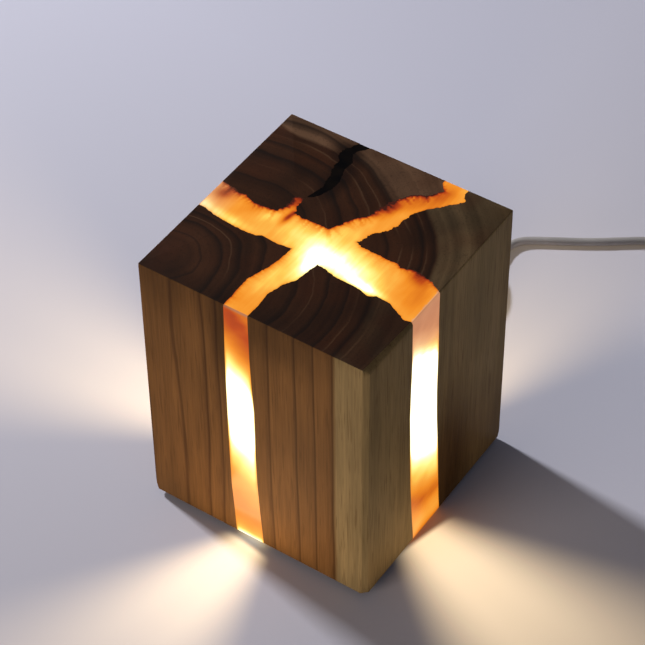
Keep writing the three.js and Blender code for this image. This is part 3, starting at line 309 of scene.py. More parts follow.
# %% [markdown]
# The switch's shells, its rocker, the plug's grip, the strain relief and the strap already have the right
# shape in the CAD model, but no moulded piece has such flat facets and knife-sharp edges. They could be
# modelled again. Copying each one, merging its doubled points and letting a Bevel modifier round its edges
# gives the same and keeps its place. The shells have details finer than a rounding, so only their tapered
# ends are shaded smooth.

# %% Moulded pieces on the lead
all_smooth = 180
crisp_above = 35
rounded_above = 30
moulded = {}


def soften(piece, degrees):
    """Smooth shading, with edges sharper than the angle kept crisp."""
    mesh = piece.data
    mesh.polygons.foreach_set("use_smooth", np.ones(len(mesh.polygons), bool))
    mesh.set_sharp_from_angle(angle=math.radians(degrees))


def rounded(name, edge_mm, body="lamp"):
    """A copy of a CAD node with its doubled points merged and the triangles of its flat faces joined. Each
    edge sharper than 30 degrees is rounded by edge_mm, or kept crisp if that is 0."""
    mesh = nodes[name].data.copy()
    work = bmesh.new()
    work.from_mesh(mesh)
    bmesh.ops.remove_doubles(work, verts=work.verts, dist=1e-6)
    bmesh.ops.dissolve_limit(work, angle_limit=math.radians(1), verts=work.verts, edges=work.edges)
    work.to_mesh(mesh)
    work.free()
    made = bpy.data.objects.new(f"moulded_{name}", mesh)
    bpy.context.scene.collection.objects.link(made)
    soften(made, all_smooth if edge_mm else crisp_above)
    if edge_mm:
        modifier = made.modifiers.new("rounded edges", "BEVEL")
        modifier.width = edge_mm * mm
        modifier.segments = 2
        modifier.limit_method = "ANGLE"
        modifier.angle_limit = math.radians(rounded_above)
        modifier.harden_normals = True
    moulded[name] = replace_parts(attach(made, body), name)


rounded("switch_lower_shell", 0)
rounded("switch_upper_shell", 0)
rounded("switch_rocker", 0.2, "rocker")
rounded("plug_body", 0.3)
rounded("cord_gland", 0.12)
rounded("coil_tie", 0.15)
print("rounded copies:", sorted(moulded))

# %% [markdown]
# All pieces that are shown, the CAD nodes and the rounded copies, are gathered in one table, so that the
# finishes below can be given to them by name.

# %% The pieces that are shown
shown = {**nodes, **moulded}

# %% [markdown]
# The wood was riven, not sawn, so its inner walls are ragged. Each wall starts from a line given on the top
# face. It is cut into short steps, and every step moves in and out with a splinter noise that
# keeps its shape down the grain. The resin uses the same walls, so the two meet without a gap. The walls
# could be sculpted, but worked out as a surface of length along the wall and height they repeat exactly.

# %% The lines of the four walls, in shares of half the block's side
half = 40.0
block_bottom = 2.0
block_top = 102.0
walls = {
    "back": [
        (-1, .07), (-.79, .04), (-.66, .005), (-.47, .02), (-.44, .1), (-.44, .23), (-.38, .25), (-.35, .07),
        (-.2, .065), (-.03, .075), (.02, .17), (.06, .27), (.13, .33), (.17, .52), (.26, .7), (.39, .79),
        (.46, .89), (.4, .96), (.4, 1)],
    "right": [
        (.61, 1), (.61, .94), (.65, .87), (.57, .77), (.46, .65), (.385, .53), (.375, .4), (.34, .29),
        (.26, .2), (.235, .1), (.205, .06), (.31, .035), (.58, .03), (.63, .005), (.73, .045), (.86, .02),
        (1, -.05)],
    "front": [
        (1, -.41), (.93, -.425), (.86, -.39), (.77, -.34), (.65, -.33), (.59, -.365), (.5, -.335),
        (.28, -.325), (.2, -.3), (.118, -.29), (.105, -.4), (.085, -.51), (.03, -.61), (-.003, -.74),
        (.012, -.86), (.01, -1)],
    "left": [
        (-.225, -1), (-.23, -.82), (-.235, -.69), (-.18, -.52), (-.155, -.4), (-.143, -.25), (-.25, -.265),
        (-.41, -.256), (-.45, -.28), (-.58, -.29), (-.83, -.268), (-.92, -.24), (-1, -.237)],
}
corner_signs = {"back": (-1, 1), "right": (1, 1), "front": (1, -1), "left": (-1, -1)}
chamfers = {"back": 0.5, "right": 0.5, "front": 1.5, "left": 0.5}
# How far each end of a wall has moved along its face at some heights: (heights, first end, last end)
end_runs = {
    "back": ((2, 30, 60, 102), (-.8, -.3, .4, 0), (.9, .2, -.3, 0)),
    "right": ((2, 8, 21, 32, 47, 60, 80, 91, 102), (-.6, -.4, .3, .3, .2, .1, -.2, 0, 0),
              (4.7, 4.1, 3.2, 2.6, 1.4, .8, .8, .4, .4)),
    "front": ((2, 17, 30, 43, 52, 62, 73, 84, 102), (3.7, 2.3, 1.3, .7, .4, 0, .2, .5, .3),
              (1.6, .6, 0, -.2, -.1, -.1, -.7, -1.1, -1.2)),
    "left": ((2, 13, 23, 37, 47, 68, 81, 94, 102), (.7, .2, -.4, -.6, -.7, -.7, -.6, -.3, -.2),
             (.9, .6, .4, .1, -.3, -.2, .2, .1, 0)),
}
tooth_height = {"back": 0.62, "right": 0.5, "front": 0.24, "left": 0.24}
tooth_taper = 4.0
tooth_at_face = 0.12
wall_step = 0.3
splinter_widths = np.geomspace(0.8, 9.0, 13)
mean_cusp = 0.63
splinter_gain = 4.2
print("corners of the walls' lines:", {name: len(line) for name, line in walls.items()})

# %% Levels of a stack, from the rounded bottom edge to the rounded top edge, and how far each is drawn in
bevel = 0.45
quarter = np.linspace(0, math.pi / 2, 4)[1:]
straight_levels = np.append(np.linspace(4.5, 99.5, 39), (100.3, 100.9))
levels = np.concatenate((block_bottom + bevel * (1 - np.sin(quarter[::-1])), straight_levels,
                         block_top - bevel * (1 - np.sin(quarter))))
insets = np.concatenate((bevel * (1 - np.cos(quarter[::-1])), np.zeros(len(straight_levels)),
                         bevel * (1 - np.cos(quarter))))
print("levels of a stack:", len(levels))

# %% The ragged walls
def splinters(along, height, seed):
    """Ragged height of a wall, about -1 to 1. Cusped waves |sin|, taken from their mean, of 13 wavelengths
    from 0.8 to 9 mm are summed, the long ones weighing a little more. Each drifts slowly sideways as it runs
    down the grain, and a slow wave along the wall makes some stretches rougher than others."""
    draw = np.random.default_rng(seed)
    count = len(splinter_widths)
    weight = splinter_widths ** 0.3
    phase = draw.uniform(0, full_turn, count)
    drift = draw.uniform(0.3, 0.9, count)
    fall = draw.uniform(26, 70, count)
    total = np.zeros((len(height), len(along)))
    for k, width in enumerate(splinter_widths):
        lean = drift[k] * np.sin(height[:, None] / fall[k] + phase[k])
        total += weight[k] * (mean_cusp - np.abs(np.sin(math.pi * along[None, :] / width + phase[k] + lean)))
    rougher = 0.75 + 0.45 * np.sin(along / 3.7 + phase[0]) * np.sin(along / 8.3 + phase[1])
    return total / weight.sum() * splinter_gain * rougher[None, :]


def ragged_wall(name):
    """The wall of one post as an array over levels and steps along it. Its given line is cut into equal
    steps and moved along its faces by the end runs, shared out evenly, and across itself by the splinters."""
    corners = half * np.array(walls[name])
    lengths = np.concatenate(([0], np.cumsum(np.linalg.norm(np.diff(corners, axis=0), axis=1))))
    along = np.linspace(0, lengths[-1], int(lengths[-1] / wall_step))
    line = np.column_stack([np.interp(along, lengths, corners[:, k]) for k in (0, 1)])
    ahead = np.gradient(line, axis=0)
    ahead /= np.linalg.norm(ahead, axis=1, keepdims=True)
    aside = np.column_stack((ahead[:, 1], -ahead[:, 0]))
    heights, first, last = end_runs[name]
    share = (along / along[-1])[None, :, None]
    faces = [np.array([0.0 if abs(value) == 1 else 1.0 for value in walls[name][k]]) for k in (0, -1)]
    runs = [np.interp(levels, heights, run)[:, None, None] * face for run, face in zip((first, last), faces)]
    moved = (1 - share) * runs[0] + share * runs[1]
    taper = np.clip(np.minimum(along, along[-1] - along) / tooth_taper, tooth_at_face, 1)
    teeth = tooth_height[name] * splinters(along, levels, sum(map(ord, name))) * taper
    wall = line[None] + moved + teeth[:, :, None] * aside[None]
    for k, index in ((0, 0), (-1, -1)):
        fixed = np.array(walls[name][k])
        pinned = np.abs(fixed) == 1
        wall[:, index, pinned] = half * fixed[pinned]
    return wall


ragged = {name: ragged_wall(name) for name in walls}
print("steps along the walls:", {name: wall.shape[1] for name, wall in ragged.items()})

# %% [markdown]
# A post and the resin are both stacks of closed outlines. The sides join outline to outline, and the flat
# ends are filled with triangles. Where colour must change across a flat face, as on the resin's top, the
# face also needs points inside, so the filling is a net of triangles that keeps the ragged outline's edges.

# %% A net of triangles
def inside(points, outline):
    """Whether each point is inside the closed outline: a ray to the right crosses it an odd number of
    times."""
    x, y = points[:, 0, None], points[:, 1, None]
    a, b = outline, np.roll(outline, -1, axis=0)
    spans = (a[None, :, 1] > y) != (b[None, :, 1] > y)
    rise = np.where(b[:, 1] == a[:, 1], 1, b[:, 1] - a[:, 1])
    cross = a[None, :, 0] + (y - a[None, :, 1]) * (b[:, 0] - a[:, 0])[None] / rise[None]
    return (spans & (x < cross)).sum(axis=1) % 2 == 1


def nearest(points, line):
    """For each point the distance to the nearest point of a line, and that point's number. Both come from one
    table of all the distances between the two."""
    (x, y), (line_x, line_y) = points[:, :2].T.astype(np.float32), line[:, :2].T.astype(np.float32)
    apart = (x[:, None] - line_x[None]) ** 2 + (y[:, None] - line_y[None]) ** 2
    number = apart.argmin(axis=1)
    return np.sqrt(apart[np.arange(len(points)), number]), number


def net(outline, spacing=None):
    """Fills an outline with triangles. Gives the extra points and the triangles, whose indices count the
    outline's points first and the extra ones after them."""
    extra = np.zeros((0, 2))
    if spacing:
        low, high = outline.min(axis=0), outline.max(axis=0)
        x, y = np.meshgrid(np.arange(low[0], high[0], spacing), np.arange(low[1], high[1], spacing * 0.87))
        x[1::2] += spacing / 2
        grid = np.column_stack((x.ravel(), y.ravel()))
        grid = grid[inside(grid, outline)]
        extra = grid[nearest(grid, outline)[0] > spacing / 2]
    points = np.vstack((outline, extra))
    result = delaunay_2d_cdt([Vector(p) for p in points.tolist()], [], [list(range(len(outline)))], 1, 1e-6)
    source = [ids[0] if ids else None for ids in result[3]]
    triangles = [[source[i] for i in face] for face in result[2]]
    broken = sum(None in face for face in triangles)
    assert not broken, f"the outline crosses itself at {broken} triangles"
    return extra, triangles


square = half * np.array(((-1, -1), (1, -1), (1, 1), (-1, 1)))
print("triangles in the block's outline, at 5 mm spacing:", len(net(square, 5)[1]))

# %% Stacks of outlines
def stack(name, outlines, heights, spacing=None):
    """A closed mesh from outlines over heights: quads between neighbours, a net on the top and the bottom."""
    rows, count = outlines.shape[:2]
    sides = np.concatenate((outlines, np.broadcast_to(heights[:, None, None], (rows, count, 1))), axis=2)
    here = np.arange(count)
    ahead = np.roll(here, -1)
    base = count * np.arange(rows - 1)[:, None]
    corners = (base + here, base + ahead, base + count + ahead, base + count + here)
    quads = np.stack(corners, axis=2).reshape(-1, 4)
    _, floor_net = net(outlines[0])
    extra, roof_net = net(outlines[-1], spacing)
    top_row = count * (rows - 1)
    beyond = count * rows - count
    roof = [[i + top_row if i < count else i + beyond for i in face] for face in roof_net]
    floor = [face[::-1] for face in floor_net]
    points = np.vstack((sides.reshape(-1, 3), np.column_stack((extra, np.full(len(extra), heights[-1])))))
    mesh = bpy.data.meshes.new(name)
    mesh.from_pydata((points * mm).tolist(), [], quads.tolist() + roof + floor)
    mesh.update()
    made = bpy.data.objects.new(name, mesh)
    bpy.context.scene.collection.objects.link(made)
    return made, points


def within_block(outlines, worn=0.0):
    """Draws points on the block's faces in by the rounding of the top and bottom edges at each level. A worn
    top edge on the +X face is a flat slope, whose width shrinks from worn at the front corner to a third of
    it 24 mm further on."""
    limit = (half - insets)[:, None, None]
    drawn_in = np.clip(outlines, -limit, limit)
    width = worn * np.clip(1 - 0.67 * (outlines[:, :, 1] + half) / 24, 0.33, 1)
    slope = half - np.clip(width - (block_top - levels)[:, None], 0, None)
    drawn_in[:, :, 0] = np.minimum(drawn_in[:, :, 0], slope)
    return drawn_in


def outer_corner(signs, chamfer):
    """The outer vertical corner of a post over all levels: a narrow flat chamfer, up to 0.7 mm wider over the
    lowest 4 mm, whose two edges are rubbed round. In the order that goes on from the wall's last point."""
    width = chamfer + 0.7 * np.clip((6 - levels) / 4, 0, 1) ** 2
    sx, sy = signs
    share_in_x = np.array((0, 0.04, 0.12, 0.88, 0.99, 1.12))
    share_in_y = share_in_x[::-1]
    if sx * sy < 0:
        share_in_x, share_in_y = share_in_y, share_in_x
    x = sx * (half - width[:, None] * share_in_x[None])
    y = sy * (half - width[:, None] * share_in_y[None])
    return np.stack((x, y), axis=2)


print("points of an outer corner, over levels:", outer_corner((1, 1), 0.5).shape[:2])

# %% [markdown]
# Some pieces are cut after they are stacked: the round recess for the base plate, and the drying check, a
# crack that runs in from the rear face and that the resin filled. The cuts could be drawn into the outlines,
# but a Boolean modifier cuts them exactly, at any slope, and leaves closed meshes. The crack's own shape is
# worked out once, for the cut and for its filling.

# %% Cutters
pocket_centre = (1.2, -4.4)
recess_radius = 27.3
recess_top = 5.0
# Where the crack runs on the top, in mm: (how far back, its middle across, its width)
check_line = np.array([
    (40, -12.3, 4.3), (39, -13.1, 3.8), (37.5, -14.2, 3.5), (35.1, -15.1, 3.6), (33, -15.1, 4.2),
    (31.2, -14.2, 5.2), (29.8, -13.7, 3.8), (27.5, -13.8, 3.6), (25, -13.1, 3.8), (22.5, -12.2, 3.6),
    (20, -12, 3.7), (18.1, -11.8, 3), (16, -12.1, 2.3), (13.7, -12.9, 2.2), (11.7, -13.8, 1.3),
    (10.9, -14.5, 0.2)])
check_depth = 34.0
check_rows = 13
check_columns = 96


def disc_cutter():
    """The recess for the base plate: a drum from below the block to the plate's top."""
    angle = np.linspace(0, full_turn, 96, endpoint=False)
    ring = np.array(pocket_centre) + recess_radius * np.column_stack((np.cos(angle), np.sin(angle)))
    heights = np.array((block_bottom - 3, recess_top))
    return stack("recess_cutter", np.broadcast_to(ring, (2, *ring.shape)), heights)[0]


def check_blade(name, beyond, above):
    """The crack: a ragged blade from the top down, whose width shrinks with depth and towards its tip. Two
    sines make it wander sideways as it goes down. It runs on by beyond past the rear face and by above past
    the top."""
    heights = np.append(np.linspace(block_top - check_depth, block_top - bevel, check_rows), block_top)
    depth = (block_top - heights) / check_depth
    fine = np.linspace(check_line[0, 0], check_line[-1, 0], check_columns)
    middle, width = (np.interp(-fine, -check_line[:, 0], check_line[:, k]) for k in (1, 2))
    to_tip = np.clip((fine - 11) / 4, 0, 1)
    rough = [0.5 * splinters(fine, heights, seed) * to_tip for seed in (3, 8)]
    wander = 0.9 * np.sin(7 * depth) * depth + 0.35 * np.sin(19 * depth)
    middle = middle + wander[:, None]
    closing = (1 - 0.95 * depth ** 0.85)[:, None]
    right_side = middle + closing * (width / 2 + rough[0] * np.minimum(1, width / 3))
    left_side = middle - closing * (width / 2 + rough[1] * np.minimum(1, width / 3))
    rows = np.concatenate((right_side[:, ::-1], left_side), axis=1)
    across = np.tile(np.concatenate((fine[::-1], fine)), (len(heights), 1))
    across[:, [len(fine) - 1, len(fine)]] += beyond
    if not beyond:
        across[-1] = np.minimum(across[-1], half - bevel)
    heights[-1] += above
    return stack(name, np.stack((rows, across), axis=2), heights)[0]


def cut(piece, *cutters):
    """Cuts each cutter from the piece with an exact Boolean, and removes the cutters' own objects."""
    for cutter in cutters:
        modifier = piece.modifiers.new("cut", "BOOLEAN")
        modifier.operation = "DIFFERENCE"
        modifier.solver = "EXACT"
        modifier.object = cutter
        seen = bpy.context.evaluated_depsgraph_get()
        mesh = bpy.data.meshes.new_from_object(piece.evaluated_get(seen))
        piece.modifiers.clear()
        old, piece.data = piece.data, mesh
        bpy.data.meshes.remove(old)
        bpy.data.objects.remove(cutter)


print("the crack's length on the top, mm:", round(length_of(check_line[:, :2]), 1))

# %% [markdown]
# The wood is a dark tropical hardwood, planed, sanded and oiled. The log's growth rings stand upright in
# the block: on the top they are arcs, and on the sides they come out as upright stripes. So the finish is
# a solid one. Its colour depends on the distance from the log's centre line, with dark latewood lines,
# a few thin pale ones and a pale band of sapwood outside. End grain drinks more oil and is much darker
# than the sides. The riving moved the four posts apart, so each has a ring centre of its own.

# %% Masks and patterns for the wood
ring_reach = 80.0


def on_lines(tree, share, lines):
    """A mask that is 1 on each line and 0 between them. A line is (radius, width before, width after)."""
    stops = [(0.0, 0.0)]
    for radius, before, after in lines:
        stops += [(radius - before, 0.0), (radius, 1.0), (radius + after, 0.0)]
    places = np.maximum.accumulate([place for place, _ in stops]) / ring_reach
    return add(tree, "ValToRGB", {"Fac": share}, "Color",
               [(float(min(place, 1)), value) for place, (_, value) in zip(places, stops)])


def shaken(tree, wander_mm):
    """Places in mm, moved sideways by a slow and a quick noise that are both drawn out along the grain."""
    moved = in_millimetres(tree)
    for size, drawn_out, amount in ((24, 0.16, wander_mm), (5, 0.1, 0.9)):
        shake = add(tree, "TexNoise", {"Vector": in_millimetres(tree, (1, 1, drawn_out)), "Scale": 1 / size,
                                       "Detail": 2.0}, "Color")
        shake = add(tree, "VectorMath", {0: shake, 1: (-0.5, -0.5, -0.5)}, 0, operation="ADD")
        moved = add(tree, "VectorMath", {0: shake, 1: (amount, amount, 0), 2: moved}, 0,
                    operation="MULTIPLY_ADD")
    return moved


def from_oval(tree, moved, middle, half_widths):
    """The distance from the middle of an oval, in its own half widths: 1 on its edge."""
    off = add(tree, "VectorMath", {0: moved, 1: middle}, 0, operation="SUBTRACT")
    off = add(tree, "VectorMath", {0: off, 1: half_widths}, 0, operation="DIVIDE")
    return add(tree, "VectorMath", {0: off}, "Value", operation="LENGTH")


def patches(tree, size_mm, low, high, stretch=(1, 1, 1)):
    """A mask that goes from 0 to 1 where a speckle passes from low to high."""
    return add(tree, "MapRange", {"Value": speckle(tree, size_mm, 1.0, stretch), "From Min": low,
                                  "From Max": high}, "Result")


def varied(tree, colour, patterns):
    """Multiplies colour by greys. Each goes from low to high with its pattern: (pattern, low, high)."""
    for pattern, low, high in patterns:
        grey = add(tree, "MapRange", {"Value": pattern, "From Min": 0.3, "From Max": 0.7, "To Min": low,
                                      "To Max": high}, "Result")
        colour = add(tree, "Mix", {0: 1.0, 6: colour, 7: grey}, 2, data_type="RGBA", blend_type="MULTIPLY")
    return colour


def painted(tree, colour, coats):
    """Covers a share of colour where a mask is 1, coat after coat: (mask, share, hex colour)."""
    for mask, share, hex_colour in coats:
        cover = add(tree, "Math", {0: mask, 1: share}, 0, operation="MULTIPLY")
        colour = add(tree, "Mix", {0: cover, 6: colour, 7: linear(hex_colour)}, 2, data_type="RGBA")
    return colour


print("rings are drawn up to, mm from the log's centre:", ring_reach)

# %% The finish of the wood
side_tone = "#704e2a"
top_tone = "#351e10"


def hardwood(name, centre, dark_lines, pale_lines, sapwood, sap_top, wander_mm=5.0, painted_shades=(),
             sap_patch=None):
    """Oiled hardwood with its rings about an upright line through centre, in mm, and sapwood beyond a radius,
    whose end grain has the colour sap_top. Each of the painted shades is a dark oval of shade painted into
    the
    colour: (its centre, its half widths, the colour it is multiplied by). A sap patch is an oval of sapwood
    further in: (its centre, its half widths)."""
    made, tree, shader = finish(name, **{"Roughness": 0.62, "IOR": 1.5, "Specular IOR Level": 0.06})

    # The ring distance
    moved = shaken(tree, wander_mm)
    apart = add(tree, "VectorMath", {0: moved, 1: (*centre, 0)}, 0, operation="SUBTRACT")
    flat = add(tree, "VectorMath", {0: apart, 1: (1, 1, 0)}, 0, operation="MULTIPLY")
    distance = add(tree, "VectorMath", {0: flat}, "Value", operation="LENGTH")
    share = add(tree, "Math", {0: distance, 1: ring_reach}, 0, operation="DIVIDE")

    # Masks of what the rings bring
    is_sap = add(tree, "ValToRGB", {"Fac": share}, "Color",
                 [((sapwood - 0.4) / ring_reach, 0.0), ((sapwood + 1.0) / ring_reach, 1.0)])
    if sap_patch:
        in_patch = add(tree, "MapRange", {"Value": from_oval(tree, moved, *sap_patch), "From Min": 0.94,
                                          "From Max": 1.04, "To Min": 1.0, "To Max": 0.0}, "Result")
        is_sap = add(tree, "Math", {0: is_sap, 1: in_patch}, 0, operation="MAXIMUM")
    dark = on_lines(tree, share, dark_lines)
    thin = on_lines(tree, share, [(radius, 0.5, 0.35) for radius, _, _ in dark_lines])
    pale = add(tree, "Math", {0: on_lines(tree, share, pale_lines), 1: patches(tree, 26.0, 0.38, 0.6)}, 0,
               operation="MULTIPLY")

    # Patterns: broad and fine rings, and fibre, streaks, clouds and open vessels drawn out along the grain
    bands, fine_rings = (add(tree, "TexNoise", {"W": distance, "Scale": 1 / size, "Detail": 2.0}, "Fac",
                             noise_dimensions="1D") for size in (6.5, 1.3))
    fibre = speckle(tree, 0.6, 3.0, (1, 1, 0.03), 0.6)
    streak = speckle(tree, 3.2, 2.0, (1, 1, 0.03))
    cloud = speckle(tree, 17.0, 2.0, (1, 1, 0.4))
    vessels = patches(tree, 0.6, 0.58, 0.7, (1, 1, 0.05))

    # The sides are planed along the grain, and the top is end grain, where the oil goes deep
    side = painted(tree, linear(side_tone), [(is_sap, 1.0, "#89744e")])
    side = varied(tree, side, [(bands, 0.93, 1.06), (fine_rings, 0.95, 1.05), (fibre, 0.84, 1.12),
                               (streak, 0.9, 1.08), (cloud, 0.84, 1.14)])
    side = painted(tree, side, [(dark, 0.4, "#3a2311"), (thin, 0.6, "#341f0e"), (vessels, 0.36, "#4a3018")])
    top = painted(tree, linear(top_tone), [(is_sap, 1.0, sap_top)])
    top = varied(tree, top, [(bands, 0.66, 1.3), (fine_rings, 0.93, 1.07), (cloud, 0.74, 1.3)])
    top = painted(tree, top, [(patches(tree, 13.0, 0.45, 0.7), 0.35, "#42200f"), (dark, 0.75, "#120a06"),
                              (pale, 0.6, "#6d523c"), (vessels, 0.25, "#120a06")])

    # Which of the two shows depends on how far the surface faces up or down
    normal = add(tree, "NewGeometry", out="Normal")
    level = add(tree, "Math", {0: add(tree, "SeparateXYZ", {0: normal}, "Z")}, 0, operation="ABSOLUTE")
    is_end = add(tree, "MapRange", {"Value": level, "From Min": 0.68, "From Max": 0.93}, "Result")
    colour = add(tree, "Mix", {0: is_end, 6: side, 7: top}, 2, data_type="RGBA")
    # Painted shade: each oval darkens the colour where shade lies, by the crack, the corners and the strips
    for middle, half_widths, shade_tint in painted_shades:
        away = from_oval(tree, moved, middle, half_widths)
        in_painted_shade = add(tree, "MapRange", {"Value": away, "From Min": 0.3, "From Max": 1.4, "To Min": 1.0,
                                         "To Max": 0.0}, "Result", interpolation_type="SMOOTHSTEP")
        colour = add(tree, "Mix", {0: in_painted_shade, 6: colour, 7: linear(shade_tint)}, 2, data_type="RGBA",
                     blend_type="MULTIPLY")
    broad = add(tree, "Bump", {"Height": streak, "Distance": 0.12 * mm, "Strength": 0.5}, "Normal")
    fine = add(tree, "Bump", {"Height": fibre, "Distance": 0.06 * mm, "Strength": 0.6, "Normal": broad},
               "Normal")
    feed(shader, {"Base Color": colour, "Normal": fine})
    return made


print("the sides give back more light than the end grain, times:",
      round(linear(side_tone)[1] / linear(top_tone)[1], 1))

# %% [markdown]
# The lines of each post are placed one by one, as the photograph shows them on the top: where the log's
# centre line stands, where the dark latewood lines and the thin pale ones lie, and where the sapwood starts.
# A noise could invent them, but the eye knows this block by its rings. Oiled and left matt, the wood is a
# deep brown with hardly any shine. Darker, warmer ovals of painted shade lie beside the strips, the corners
# and the crack.

# %% The four posts' own wood
wood = {
    "back": hardwood(
        "dark hardwood, back post, oiled", centre=(-28, -15), sapwood=52.0, sap_top="#5b4230",
        dark_lines=[(25.6, 2.4, 0.7), (36.5, 2.6, 0.7), (42.0, 1.5, 0.5), (52.6, 3.4, 1.0)],
        pale_lines=[(31.5, 0.3, 0.3), (45.2, 0.3, 0.3), (48.8, 0.3, 0.3), (62.1, 0.35, 0.35)],
        painted_shades=[((-15.5, 35, 98), (5.5, 6, 40), "#8d8178"), ((-11.5, 23, 102), (5, 12, 30), "#a39b95")],
        sap_patch=((-27, 43, 60), (27, 11, 200))),
    "right": hardwood(
        "dark hardwood, right post, oiled", centre=(-5, -8), sapwood=40.3, sap_top="#50402c", wander_mm=3.5,
        dark_lines=[(26.0, 2.0, 0.6), (36.4, 1.6, 0.5), (39.8, 2.4, 1.0)],
        pale_lines=[(30.0, 0.35, 0.35), (33.2, 0.3, 0.3), (37.6, 0.25, 0.25), (49.3, 0.35, 0.35)],
        painted_shades=[((40, 6, 20), (9, 15, 38), "#968671"), ((40, 24, 4), (12, 30, 34), "#e2d3bf"),
                ((40, 38, 60), (6, 5, 90), "#eeeae2")]),
    "front": hardwood(
        "dark hardwood, front post, oiled", centre=(-17, -33), sapwood=46.2, sap_top="#39291b", wander_mm=3.5,
        dark_lines=[(24.3, 2.0, 0.4), (33.1, 1.8, 0.4), (39.4, 2.2, 0.4), (45.8, 2.2, 0.7)],
        pale_lines=[(28.8, 0.3, 0.3), (42.4, 0.3, 0.3), (48.6, 0.35, 0.35)],
        painted_shades=[((10, -40, 99), (17, 8, 13), "#d4d3d2"), ((27, -26, 103), (20, 17, 5), "#dedad2")]),
    "left": hardwood(
        "dark hardwood, left post, oiled", centre=(-34, -33), sapwood=60, sap_top="#3c2b1e", wander_mm=8.0,
        dark_lines=[(10.2, 0.8, 0.4), (16.6, 2.0, 0.5), (21.5, 2.4, 0.5), (27.5, 2.0, 0.5)],
        pale_lines=[(19.0, 0.2, 0.2)],
        painted_shades=[((-10, -40, 90), (6, 8, 22), "#cccbca"), ((-30, -40, 106), (24, 8, 20), "#dcdad6")]),
}
print("nodes in each post's finish:", {name: len(made.node_tree.nodes) for name, made in wood.items()})

# %% [markdown]
# The four posts could be cut from one block, but stacked each from its own ragged wall and outer corner they
# meet the resin exactly. The front one's top edge is worn to a slope on its right side. The recess is cut
# from all four, and the crack from the back one.

# %% The four posts
smooth_below = 28
worn_slope = {"front": 1.7}
posts = {}
for name, signs in corner_signs.items():
    outlines = np.concatenate((ragged[name], outer_corner(signs, chamfers[name])), axis=1)
    post, _ = stack(f"wood_{name}", within_block(outlines, worn_slope.get(name, 0.0)), levels)
    cut(post, disc_cutter())
    if name == "back":
        cut(post, check_blade("check_cutter", beyond=2, above=1))
    soften(post, smooth_below)
    post.data.materials.clear()
    post.data.materials.append(wood[name])
    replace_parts(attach(post, "lamp"), f"wood_post_{name}")
    posts[name] = post
print("triangles of the posts:", {name: len(post.data.loop_triangles) for name, post in posts.items()})

# %% [markdown]
# The resin is clear casting resin, sanded and polished flush with the wood. Lit by the module in its middle
# it is so bright that one sees its glow and not what is inside, so it is shown as a glossy body that
# glows by itself. How hot the glow is comes from a value that each point of the mesh carries: white-hot
# near the middle of the top and halfway up each strip, amber further off, and burnt orange where the
# light has to cross splinters. Glass with a lamp inside would be truer, but far noisier and slower.

# %% Tools for the glow
arm_points = 20


def resin_outlines():
    """The resin's outlines over all levels: the four walls backwards, joined across the faces in steps that
    are shortest beside the wood."""
    order = ["front", "right", "back", "left"]
    parts = []
    for name, following in zip(order, order[1:] + order[:1]):
        wall = ragged[name][:, ::-1]
        share = (0.5 - 0.5 * np.cos(np.linspace(0, math.pi, arm_points)[1:-1]))[None, :, None]
        across = (1 - share) * wall[:, -1:] + share * ragged[following][:, ::-1][:, :1]
        parts += [wall, across]
    return within_block(np.concatenate(parts, axis=1))


def blob(points, centre, size, angle=0.0):
    """A soft oval hill of height 1: e to the power of minus the squared distance from its centre, which is
    counted in its two half widths."""
    turned = np.radians(angle)
    apart = points[:, :2] - np.array(centre)
    along = apart @ np.array((np.cos(turned), np.sin(turned)))
    beside = apart @ np.array((-np.sin(turned), np.cos(turned)))
    return np.exp(-(along / size[0]) ** 2 - (beside / size[1]) ** 2)


print("points of the resin's outline:", resin_outlines().shape[1])

# %% [markdown]
# The top's glow is a map of heat. It could come from a formula of the distance to the lamps, but the real one
# is uneven, so it is a warm level with soft hills that are listed one by one, and a dark rim along the walls,
# where the light has to cross splinters before it comes out.

# %% Heat of the top
rim_strength = {"back": 1.0, "right": 0.6, "front": 0.5, "left": 0.7}
front_right = np.array((0.83, 0.56))
smoothed_steps = 25
least_rim = 0.08
rim_range = 0.42


def rim_darkness():
    """How dark and how wide the rim is along the walls' joined line. The walls that face the front right show
    through the resin, so their rim is strong. Cusped waves from 0.8 to 2.1 mm make it reach in like teeth."""
    darkness, width = [], []
    for name, wall in ragged.items():
        line = wall[-1]
        ahead = np.gradient(line, axis=0)
        ahead /= np.maximum(np.linalg.norm(ahead, axis=1, keepdims=True), 1e-9)
        padded = np.pad(ahead @ front_right, smoothed_steps // 2, "edge")
        slow = np.convolve(padded, np.ones(smoothed_steps) / smoothed_steps, "valid")
        facing = np.clip(0.1 + rim_strength[name] * slow, 0.06, 1)
        along = np.arange(len(line)) * wall_step
        waves = [np.abs(np.sin(math.pi * along / length + length)) for length in (0.8, 1.3, 2.1)]
        teeth = np.prod(waves, axis=0)
        darkness.append(facing)
        width.append(0.32 + 1.5 * facing * teeth ** 0.5)
    return np.concatenate(darkness), np.concatenate(width)
